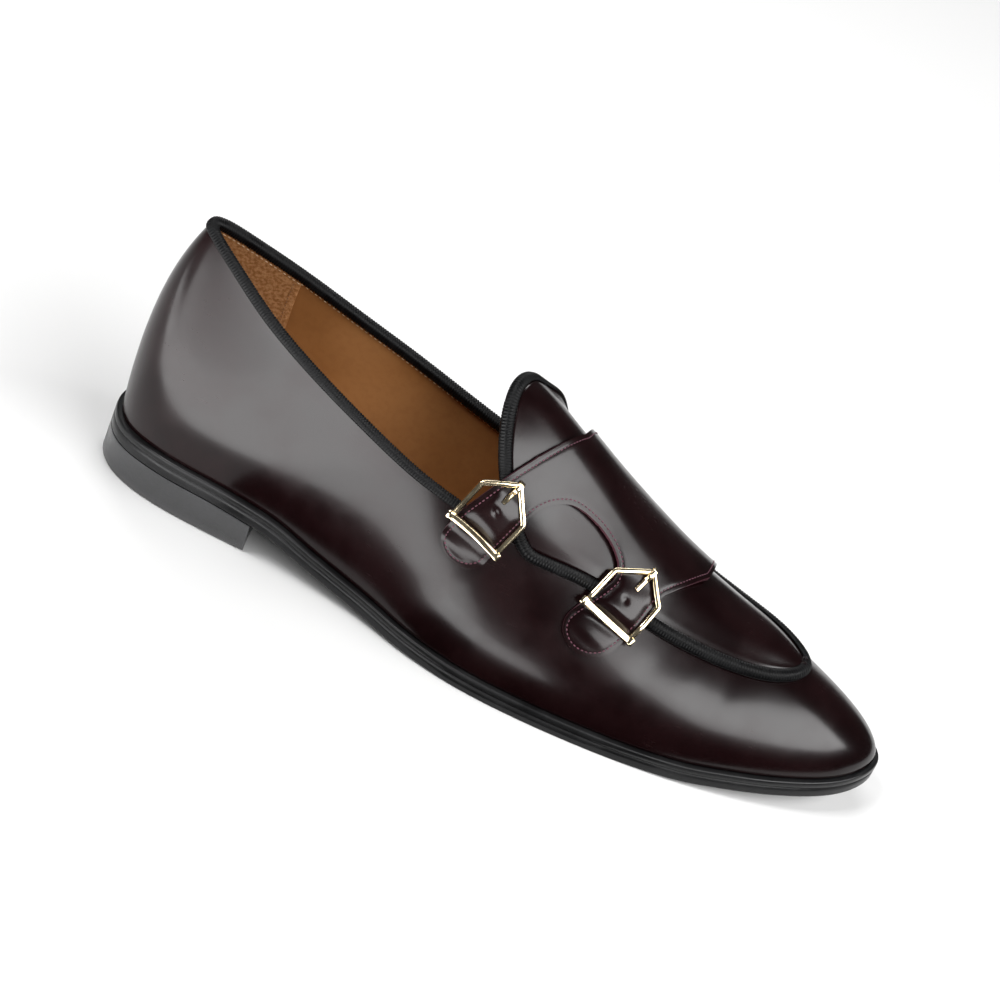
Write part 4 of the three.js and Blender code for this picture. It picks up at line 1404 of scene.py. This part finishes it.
@dataclass(frozen=True)
class BucklePlace:
    """Where a buckle lies: middle of its hinge bar, in millimetres along the shoe and of girth."""

    name: str
    x: float
    girth: float
    hole: tuple
    turn: float = 0.0
    lean: float = 16.0

    def axes(self) -> tuple:
        """Place and girth gained per millimetre across the strap and along it."""
        turn, lean = math.radians(self.turn), math.radians(self.lean)
        return (math.cos(turn), math.sin(turn)), (math.sin(lean), -math.cos(lean))

    def outward(self, along: Array, across: Array) -> tuple:
        """Place and girth from along the strap to the ridge and across it to the toe."""
        (ax, ag), (lx, lg) = self.axes()
        return self.x + across * ax + along * lx, self.girth + across * ag + along * lg

    def inward(self, x: Array, girth: Array) -> tuple:
        """Along and across from place and girth."""
        (ax, ag), (lx, lg) = self.axes()
        dx, dg = x - self.x, girth - self.girth
        area = lx * ag - ax * lg
        return (dx * ag - dg * ax) / area, (dg * lx - dx * lg) / area


BUCKLES = (BucklePlace("rear", 0.455 * LENGTH, 0.570 * BALL_WIDTH, (136.1, 42.0)),
           BucklePlace("front", 0.631 * LENGTH, 0.424 * BALL_WIDTH, (186.6, 29.6), turn=-4.0))


@dataclass
class Saddle:
    """The saddle over the instep with its two straps, their stitches and punched holes."""

    CHUNK = 2000

    columns: int = 44
    medial_rows: int = 110
    lateral_rows: int = 22
    strap_rows: int = 96
    end_rows: int = 22
    crowd: float = 0.6
    thickness: float = 1.8
    wall: float = 1.6
    hem: float = 2.0
    clearance: float = 0.5
    fall: float = 9.0
    fall_start: float = 1.2
    stitch_inset: float = 1.45
    stitch_pitch: float = 1.5
    pillow: tuple = (0.10, 1.3)
    groove: tuple = (0.06, 0.45)
    bulge: float = 1.0
    bulge_span: tuple = ((1.0, 6.5), (12.0, 18.5))
    bulge_half: float = 8.8
    tab: float = 0.35
    tab_span: tuple = ((-11, -7), (-4.5, -1.5))
    edge_fade: tuple = (0.2, 3.5)
    dimple: tuple = (0.5, 1.0)
    stitch: tuple = (1.0, 0.44, 0.36)
    hole_profile: tuple = ((1.25, .06), (1.16, .15), (1.02, .18), (.86, .12), (.74, -.02), (.66, -.30), (.0, -.34))
    hole_steps: int = 28
    # Radius of the hole's floor that takes the black cloth finish as painted shade.
    throat: float = 0.8
    painted_edge: float = 0.3
    samples: int = 500
    border_spacing: float = 0.4
    border_rounding: int = 2
    seam_share: float = 0.93
    stitch_lift: float = 0.05
    medial: tuple = ((1, .548, .622, .704), (.66, .540, .624, .712), (.33, .530, .622, .724), (0, .514, .608, .718))
    lateral: tuple = ((0, .514, .608, .718), (.100, .498, .596, .700), (.199, .482, .578, .679))
    rear: tuple = ((.199, .482, .578), (.204, .481, .560), (.219, .479, .543), (.257, .473, .527),
                   (.308, .465, .514), (.374, .455, .504), (.457, .443, .496), (.543, .431, .488), (.625, .424, .481))
    front: tuple = ((.199, .578, .679), (.206, .594, .678), (.223, .608, .676), (.249, .617, .674),
                    (.285, .619, .671), (.333, .614, .668), (.413, .602, .661), (.491, .591, .652))

    def __post_init__(self) -> None:
        """Measures the girths and lays the border."""
        self.girths = {True: Girths(LAST, True), False: Girths(LAST, False)}
        self.border = self.border_line()

    def crowded(self, t: Array) -> Array:
        """Even places moved towards both ends."""
        return t - self.crowd * np.sin(2 * math.pi * t) / (2 * math.pi)

    def body_place(self, u: Array, v: Array) -> tuple:
        """Place and girth on the saddle's body; girth is below zero on the medial side."""
        total = self.medial_rows + self.lateral_rows
        row = v * total
        on_medial = row <= self.medial_rows
        medial_place = np.clip(row / self.medial_rows, 0, 1) * 3
        lateral_place = np.clip((row - self.medial_rows) / self.lateral_rows, 0, 1) * 2
        half = np.minimum(np.floor(2 * u), 1)
        share = self.crowded(2 * u - half)
        x = np.zeros(len(u))
        for table, place, chosen in ((self.medial, medial_place, on_medial),
                                     (self.lateral, lateral_place, ~on_medial)):
            columns = list(zip(*table))
            edges = [hermite(column, place) * LENGTH for column in columns[1:]]
            low = np.where(half < 1, edges[0], edges[1])
            high = np.where(half < 1, edges[1], edges[2])
            x = np.where(chosen, low + (high - low) * share, x)
        down_medial = hermite(tuple(row[0] for row in self.medial), medial_place)
        down_lateral = hermite(tuple(row[0] for row in self.lateral), lateral_place)
        inner = self.girths[False]
        full = np.interp(inner.station(x), inner.stations, inner.full) - self.hem
        return x, np.where(on_medial, -down_medial * full, down_lateral * BALL_WIDTH)

    def strap_place(self, table: tuple, u: Array, v: Array) -> tuple:
        """Place and girth on a strap, from the saddle's body to its round end."""
        row = v * (self.strap_rows + self.end_rows)
        place = np.clip(row / self.strap_rows, 0, 1) * (len(table) - 1)
        turn = np.clip((row - self.strap_rows) / self.end_rows, 0, 1) * math.pi / 2
        down, rear, front = (hermite(column, place) for column in zip(*table))
        half = (table[-1][2] - table[-1][1]) / 2 * LENGTH
        last, before = np.array(table[-1]), np.array(table[-2])
        drift = (last[1:] - before[1:]).sum() / (2 * (last[0] - before[0]))
        share = self.crowded(u)
        further = half * np.sin(turn) / BALL_WIDTH
        middle = (last[1] + last[2]) / 2 + drift * further
        ended = middle * LENGTH + (2 * share - 1) * half * np.cos(turn)
        x = np.where(turn > 0, ended, (rear + (front - rear) * share) * LENGTH)
        return x, (down + further) * BALL_WIDTH

    def border_line(self) -> Array:
        """The saddle's edge, from its hem over the rear strap and the front strap back to the hem."""
        run, low, high = np.linspace(0, 1, self.samples), np.zeros(self.samples), np.ones(self.samples)
        ends = [self.body_place(low, run)]
        for table in (self.rear, self.front):
            ends += [self.strap_place(table, low, run), self.strap_place(table, high, run[::-1])]
        ends.append(self.body_place(high, run[::-1]))
        line = np.concatenate([np.stack(part, axis=1) for part in ends])
        return round_off(resample(line, self.border_spacing, False), self.border_rounding, False)

    def edge_distance(self, x: Array, girth: Array) -> Array:
        """Distance to the border."""
        away = np.zeros(len(x))
        for part in (slice(start, start + self.CHUNK) for start in range(0, len(x), self.CHUNK)):
            dx = x[part, None] - self.border[None, :, 0]
            dg = girth[part, None] - self.border[None, :, 1]
            away[part] = np.sqrt((dx * dx + dg * dg).min(axis=1))
        return away

    def lift(self, below_rim: Array) -> Array:
        """How far the saddle stands off the last."""
        fall = smoothstep(below_rim, CORD_WIDTH + self.fall_start, CORD_WIDTH + self.fall)
        over = 2 * CLEARANCE + CORD_HEIGHT
        return over + (self.clearance - over) * fall

    def spots(self, x: Array, girth: Array, height: Array | float) -> Spots:
        """Spots over the saddle's underside.

        Args:
            x: Places along the shoe.
            girth: Girths from the ridge, below zero on the medial side.
            height: Height over the underside.

        Returns:
            The spots.
        """
        outer = girth >= 0
        lap, level, below = (np.zeros(len(x)) for _ in range(3))
        for lateral, chosen in ((True, outer), (False, ~outer)):
            side = self.girths[lateral]
            station = side.station(x)
            rim = np.interp(station, side.stations, side.rim)
            lap = np.where(chosen, station if lateral else LAP - station, lap)
            level = np.where(chosen, side.level(station, np.abs(girth)), level)
            below = np.where(chosen, np.abs(girth) - rim, below)
        spots = LAST.spots(lap, level)
        return Spots(spots.raised(self.lift(below) + height), spots.normal)

    def relief(self, x: Array, girth: Array, away: Array) -> Array:
        """Height of the saddle's outer face over its underside."""
        height = self.thickness - self.pillow[0] * bell(away, self.pillow[1])
        height = height - self.groove[0] * bell(away - self.stitch_inset, self.groove[1])
        for buckle in BUCKLES:
            along, across = buckle.inward(x, girth)
            inside, tab = (smoothstep(along, *start) * (1 - smoothstep(along, *end))
                           for start, end in (self.bulge_span, self.tab_span))
            crown = np.clip(1 - (across / self.bulge_half) ** 2, 0, 1)
            height = height + (self.bulge * inside + self.tab * tab) * crown * smoothstep(away, *self.edge_fade)
            hole = np.hypot(x - buckle.hole[0], girth - buckle.hole[1])
            height = height - self.dimple[0] * bell(hole, self.dimple[1])
        return height

    def patch(self, place: Callable[[Array, Array], tuple]) -> Callable[[Array, Array], Spots]:
        """The place function of a grid of the outer face."""
        def spots(u: Array, v: Array) -> Spots:
            """Spots of the outer face."""
            x, girth = place(u, v)
            return self.spots(x, girth, self.relief(x, girth, self.edge_distance(x, girth)))
        return spots

    def leather(self) -> bpy.types.Object:
        """Makes the saddle and straps."""
        sheet = Sheet("saddle_and_straps")
        sheet.patch(2 * self.columns, self.medial_rows + self.lateral_rows, self.patch(self.body_place))
        for table in (self.rear, self.front):
            sheet.patch(self.columns, self.strap_rows + self.end_rows,
                        self.patch(lambda u, v, rows=table: self.strap_place(rows, u, v)))
        piece = sheet.finish(Slot.LEATHER, [OXBLOOD.build(), EDGE_PAINT.build()])
        thicken(piece, self.wall, rim=1)
        soften_edges(piece, self.painted_edge)
        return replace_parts(piece, "saddle")

    def seam(self) -> bpy.types.Object:
        """Makes the stitches along the whole border."""
        line = self.border
        along = unit(np.gradient(line, axis=0))
        inner = line + np.stack([-along[:, 1], along[:, 0]], axis=1) * self.stitch_inset
        if self.edge_distance(*inner[200:210].T).mean() < 0.5 * self.stitch_inset or \
                inner[5, 0] < line[5, 0]:
            inner = 2 * line - inner
        inner = inner[self.edge_distance(*inner.T) > self.seam_share * self.stitch_inset]
        inner = round_off(resample(inner, self.border_spacing, False), self.border_rounding, False)
        x, girth = inner.T
        height = self.relief(x, girth, np.full(len(x), self.stitch_inset))
        spots = self.spots(x, girth, height + self.stitch_lift)
        return stitches("saddle_stitches", spots, self.stitch_pitch, self.stitch, THREAD.build(), Slot.LEATHER)

    def punched_holes(self) -> list:
        """Makes the strap holes' rims, with their throats painted black as painted shade."""
        pieces = []
        rings = len(self.hole_profile) - 1
        for buckle in BUCKLES:
            x, girth = (np.array([value]) for value in buckle.hole)
            base = self.relief(x, girth, self.edge_distance(x, girth))
            spot = self.spots(x, girth, base)
            up = Vector(spot.normal[0])
            turn = up.to_track_quat("Z", "Y").to_matrix().to_4x4()
            place = Matrix.Translation(to_frame(spot.at[0])) @ turn
            sheet = Sheet(f"strap_hole_{buckle.name}")

            def ring(u: Array, v: Array) -> Spots:
                """Spots of the hole's rim and throat."""
                row = np.rint(v * rings).astype(int)
                radius, rise = (np.array(column)[row] for column in zip(*self.hole_profile))
                turned = 2 * math.pi * u
                flat = np.stack([radius * np.cos(turned), radius * np.sin(turned), rise], axis=1)
                return Spots(flat - SHIFT, np.tile([0, 0, 1.0], (len(u), 1)))

            sheet.patch(self.hole_steps, rings, ring)
            sheet.merge()
            bmesh.ops.transform(sheet.bm, matrix=place, verts=sheet.bm.verts)
            for face in sheet.bm.faces:
                centre = place.inverted() @ face.calc_center_median()
                # Faces low in the hole's middle take the black grosgrain: painted shade in the throat.
                face.material_index = int(centre.z * MM < 0.02 and centre.xy.length * MM < self.throat)
            pieces.append(sheet.finish(Slot.LEATHER, [THREAD.build(), GROSGRAIN.build()]))
        return pieces

    def build(self) -> list:
        """Makes the saddle's pieces."""
        return [self.leather(), self.seam(), *self.punched_holes()]


@dataclass
class Buckle:
    """One pointed buckle: frame, hinge bar and prong."""

    SHARP = 40
    CROWN = 0.08
    LOWER_EASE = 0.4

    place: BucklePlace
    saddle: Saddle
    width: float = 20.2
    side: float = 15.2
    roof: float = 8.4
    bar: float = 1.9
    frame_height: float = 1.5
    hinge: float = 2.6
    hinge_height: float = 1.9
    overhang: float = 0.6
    hinge_lift: float = 0.5
    prong_length: float = 7.0
    prong_width: float = 1.7
    prong_height: float = 1.3
    corner: float = 0.9
    corner_steps: int = 6
    spacing: float = 0.5
    frame_chamfer: float = 0.5
    hinge_chamfer: float = 0.45
    prong_chamfer: float = 0.3
    hinge_steps: int = 45
    hinge_collar: tuple = ((-1.5, -1.3, -0.3, 0.0), (0.0, 0.22, 0.22, 0.02))
    prong_steps: int = 24
    prong_falls: tuple = (0.20, 0.42)
    prong_thins: tuple = (0.7, 1.0)
    prong_thinning: float = 0.12
    prong_gap: float = 0.10
    loop_steps: int = 28
    loop_gap: tuple = (0.5, 0.42)
    loop_band: tuple = ((-.85, -.25), (.85, -.25), (.95, 0), (.8, .26), (-.8, .26), (-.95, 0))

    def spots(self, along: Array, across: Array, height: float) -> Spots:
        """Spots over the strap."""
        x, girth = self.place.outward(along, across)
        return self.saddle.spots(x, girth, self.saddle.thickness + CLEARANCE + height)

    def section(self, width: float, height: float, chamfer: float) -> Array:
        """A bar's section with a crowned top, rounded upper edges and eased lower ones."""
        half, low = width / 2, chamfer * self.LOWER_EASE
        turn = np.radians([0, 30, 60, 90])
        edge = np.stack([half - chamfer + chamfer * np.cos(turn),
                         height - chamfer + (chamfer - self.CROWN) * np.sin(turn)], axis=1)
        foot = [(-half, low), (-half + low, 0), (half - low, 0), (half, low)]
        return np.concatenate([foot, edge, [(0, height)], edge[::-1] * (-1, 1)])

    def bar_piece(self, name: str, path: Array, section: Array, height: float) -> Sheet:
        """Sweeps a bar along a path over the strap.

        Args:
            name: The piece's name.
            path: Rows of along and across.
            section: The bar's section.
            height: Height of its underside over the strap's clearance.

        Returns:
            The closed sheet.
        """
        spots = self.spots(path[:, 0], path[:, 1], height)
        along = np.gradient(spots.at, axis=0)
        across = unit(np.cross(along, spots.normal))
        return sweep(Sheet(name), (spots.at, across, spots.normal), section, False).close_ends()

    def rounded(self, corners: list) -> Array:
        """A path through corners, each turned on a small arc."""
        points = [np.array(corners[0], float)]
        for before, corner, after in zip(corners, corners[1:], corners[2:]):
            corner = np.array(corner, float)
            start = corner + unit(np.array(before) - corner) * self.corner
            end = corner + unit(np.array(after) - corner) * self.corner
            for t in np.linspace(0, 1, self.corner_steps):
                points.append((1 - t) ** 2 * start + 2 * t * (1 - t) * corner + t * t * end)
        points.append(np.array(corners[-1], float))
        return resample(np.array(points), self.spacing, False)

    def frame_piece(self) -> bpy.types.Object:
        """Makes the five-sided frame without its hinge side."""
        half = (self.width - self.bar) / 2
        start = self.hinge / 2 + 0.1
        corners = [(start, -half), (self.side, -half), (self.side + self.roof, 0), (self.side, half), (start, half)]
        path = self.rounded(corners)
        sheet = self.bar_piece(f"buckle_{self.place.name}_frame", path,
                               self.section(self.bar, self.frame_height, self.frame_chamfer), 0.0)
        piece = sheet.finish(Slot.GOLD, [PALE_GOLD.build()], sharp=self.SHARP)
        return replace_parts(piece, f"buckle_frame_{self.place.name}")

    def hinge_piece(self) -> bpy.types.Object:
        """Makes the hinge bar with a collar at each end."""
        half = self.width / 2 + self.overhang
        path = np.stack([np.zeros(self.hinge_steps), np.linspace(-half, half, self.hinge_steps)], axis=1)
        spots = self.spots(path[:, 0], path[:, 1], self.hinge_lift)
        swell = np.interp(np.abs(path[:, 1]), half + np.array(self.hinge_collar[0]), self.hinge_collar[1])
        across = unit(np.cross(np.gradient(spots.at, axis=0), spots.normal))
        section = self.section(self.hinge, self.hinge_height, self.hinge_chamfer)
        section = np.column_stack([section, np.ones(len(section))])
        sheet = sweep(Sheet(f"buckle_{self.place.name}_hinge"), (spots.at, across, spots.normal), section, False, swell)
        piece = sheet.close_ends().finish(Slot.GOLD, [PALE_GOLD.build()], sharp=self.SHARP)
        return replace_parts(piece, f"buckle_bar_{self.place.name}")

    def prong_piece(self) -> bpy.types.Object:
        """Makes the short prong and the loop that holds it round the frame's point."""
        tip = self.side + self.roof
        start = tip - self.bar * 0.2
        steps = self.prong_steps
        spots = self.spots(np.linspace(start, start - self.prong_length - 1.2, steps), np.zeros(steps), 0.0)
        share = np.linspace(0, 1, steps)
        over = self.frame_height + 0.05
        rise = over * (1 - smoothstep(share, *self.prong_falls)) + self.prong_gap
        at = spots.at + spots.normal * rise[:, None]
        across = unit(np.cross(np.gradient(at, axis=0), spots.normal))
        up = unit(np.cross(across, np.gradient(at, axis=0)))
        section = self.section(self.prong_width, self.prong_height * 0.72, self.prong_chamfer)
        section = np.column_stack([section, np.ones(len(section))])
        thin = -self.prong_thinning * smoothstep(share, *self.prong_thins)
        sheet = sweep(Sheet(f"buckle_{self.place.name}_prong"), (at, across, up), section, False, thin)
        sheet.close_ends()
        centre, forward = (self.spots(np.array([tip + off]), np.array([0.0]), self.frame_height / 2)
                           for off in (-0.1, 0.1))
        along = unit(forward.at - centre.at)[0]
        up0 = centre.normal[0]
        turned = np.radians(np.linspace(0, 360, self.loop_steps + 1))[:-1]
        radii = (self.bar / 2 + self.loop_gap[0], self.frame_height / 2 + self.loop_gap[1])
        ring_at = centre.at[0] + np.outer(radii[0] * np.cos(turned), along) + np.outer(radii[1] * np.sin(turned), up0)
        outward = unit(ring_at - centre.at[0])
        side = np.tile(np.cross(along, up0), (len(turned), 1))
        sweep(sheet, (ring_at, side, outward), np.array(self.loop_band), True)
        sheet.merge()
        bmesh.ops.recalc_face_normals(sheet.bm, faces=sheet.bm.faces)
        piece = sheet.finish(Slot.GOLD, [PALE_GOLD.build()], sharp=self.SHARP)
        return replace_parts(piece, f"buckle_prong_{self.place.name}")

    def build(self) -> list:
        """Makes the buckle's pieces."""
        return [self.frame_piece(), self.hinge_piece(), self.prong_piece()]


@dataclass(frozen=True)
class SoftBox:
    """A soft light that faces a point."""

    name: str
    place: tuple
    target: tuple
    size: tuple
    power: float
    seen: bool = True
    spin: float = 0.0

    def build(self) -> None:
        """Makes the light."""
        light = bpy.data.lights.new(self.name, "AREA")
        light.shape = "RECTANGLE"
        light.size, light.size_y = self.size
        light.energy = self.power
        lamp = bpy.data.objects.new(self.name, light)
        lamp.visible_camera = self.seen
        away = Vector(self.place) - Vector(self.target)
        turn = away.to_track_quat("Z", "Y").to_matrix().to_4x4() @ Matrix.Rotation(math.radians(self.spin), 4, "Z")
        lamp.matrix_world = Matrix.Translation(self.place) @ turn
        bpy.context.scene.collection.objects.link(lamp)


@dataclass
class Studio:
    """The camera at the photograph's angle, the pale floor and the soft lights."""

    azimuth: float = 2.0
    elevation: float = 32.0
    roll: float = 24.5
    distance: float = 0.970
    target: tuple = (-0.0107, -0.0001, 0.0466)
    lens: float = 102.4
    sensor: float = 36.0
    floor_size: float = 4.0
    floor_pale: tuple = ((0.71, 0.71, 0.71, 1), (0.73, 0.73, 0.726, 1))
    # Corners and height of the black card that paints dark reflections into the forepart.
    card: tuple = ((-0.10, -1.40), (1.40, -0.045))
    card_height: float = 0.002
    air: float = 0.05
    lights: tuple = (
        SoftBox("right_front_box", (1.10, -0.635, 1.014), (0.0, 0.0, 0.04), (2.2, 0.70), 45.0, spin=14.0),
        SoftBox("left_floor_panel", (-0.41, -0.63, 0.004), (-0.41, -0.63, 1.0), (0.89, 1.05), 20.0, seen=False),
        SoftBox("left_low_wall", (-0.66, -1.02, 0.12), (0.0, 0.0, 0.12), (1.1, 0.24), 5.0, seen=False),
        SoftBox("left_high", (-0.75, -0.63, 1.39), (-0.05, 0.0, 0.05), (0.6, 0.5), 17.0),
        SoftBox("top_back", (-0.30, 0.85, 1.05), (0.0, 0.1, 0.0), (1.1, 0.4), 9.0),
    )

    def camera(self) -> None:
        """Makes the camera."""
        azimuth, elevation, roll = (math.radians(value) for value in (self.azimuth, self.elevation, self.roll))
        back = Vector((math.sin(azimuth) * math.cos(elevation), -math.cos(azimuth) * math.cos(elevation),
                       math.sin(elevation)))
        right = Vector((math.cos(azimuth), math.sin(azimuth), 0))
        up = back.cross(right)
        turned_right = math.cos(roll) * right + math.sin(roll) * up
        turned_up = math.cos(roll) * up - math.sin(roll) * right
        camera = bpy.data.cameras.new("photo_camera")
        camera.lens = self.lens
        camera.sensor_width = self.sensor
        camera.clip_start = 0.01
        holder = bpy.data.objects.new("photo_camera", camera)
        axes = Matrix((turned_right, turned_up, back)).transposed().to_4x4()
        holder.matrix_world = Matrix.Translation(Vector(self.target) + back * self.distance) @ axes
        bpy.context.scene.collection.objects.link(holder)
        bpy.context.scene.camera = holder

    def plane(self, name: str, corners: tuple, height: float, steps: int) -> bpy.types.Object:
        """Lays a level plane.

        Args:
            name: The plane's name.
            corners: Its low and high corner.
            height: Its height over the floor.
            steps: Grid steps a side.

        Returns:
            The plane.
        """
        bm = bmesh.new()
        bmesh.ops.create_grid(bm, x_segments=steps, y_segments=steps, size=0.5)
        for vert in bm.verts:
            vert.co = (*(low + (value + 0.5) * (high - low) for value, low, high in zip(vert.co, *corners)), height)
        mesh = bpy.data.meshes.new(name)
        bm.to_mesh(mesh)
        bm.free()
        plane = bpy.data.objects.new(name, mesh)
        bpy.context.scene.collection.objects.link(plane)
        return plane

    def floor(self) -> None:
        """Makes the pale floor."""
        half = self.floor_size / 2
        floor = self.plane("studio_floor", ((-half, -half), (half, half)), 0.0, 8)
        material, tree = new_material("pale_floor")
        coords = tree.add("ShaderNodeTexCoord").outputs["Object"]
        noise = tree.add("ShaderNodeTexNoise", {"Vector": coords, "Scale": 3.0, "Detail": 2.0})
        colour = tree.blend(noise.outputs["Fac"], *self.floor_pale)
        shader = tree.add("ShaderNodeBsdfPrincipled", {
            "Base Color": colour, "Roughness": 0.9, "Specular IOR Level": 0.1})
        tree.add("ShaderNodeOutputMaterial", {"Surface": shader.outputs["BSDF"]})
        floor.data.materials.append(material)

    def dark_reflection_card(self) -> None:
        """Lays a black card that only reflections see, painting dark reflections into the forepart; the camera doesn't
        see it and it casts no shadow.
        """
        card = self.plane("dark_reflection_card", self.card, self.card_height, 2)
        material = bpy.data.materials.new("painted_dark_reflection")
        material.use_nodes = True
        shader = material.node_tree.nodes["Principled BSDF"]
        shader.inputs["Base Color"].default_value = (0.01, 0.01, 0.01, 1)
        shader.inputs["Roughness"].default_value = 1.0
        shader.inputs["Specular IOR Level"].default_value = 0.0
        card.data.materials.append(material)
        card.visible_camera = card.visible_diffuse = card.visible_shadow = card.visible_transmission = False

    def build(self) -> None:
        """Makes the studio."""
        scene = bpy.context.scene
        scene.view_settings.view_transform = "Standard"
        world = bpy.data.worlds.new("studio_air")
        world.use_nodes = True
        background = world.node_tree.nodes["Background"]
        background.inputs["Color"].default_value = (1, 1, 1, 1)
        background.inputs["Strength"].default_value = self.air
        scene.world = world
        self.camera()
        self.floor()
        self.dark_reflection_card()
        for light in self.lights:
            light.build()


def main() -> None:
    """Builds the studio and the shoe, and reports each piece."""
    logging.basicConfig(level=logging.INFO, format="%(message)s")
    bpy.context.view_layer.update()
    Studio().build()
    saddle = Saddle()
    units = [SoleUnit(), Upper(), CollarBinding(), Apron(), saddle, *(Buckle(place, saddle) for place in BUCKLES)]
    for unit_of_shoe in units:
        for piece in unit_of_shoe.build():
            LOG.info("%s: %d faces before modifiers", piece.name, len(piece.data.polygons))


if __name__ == "__main__":
    main()
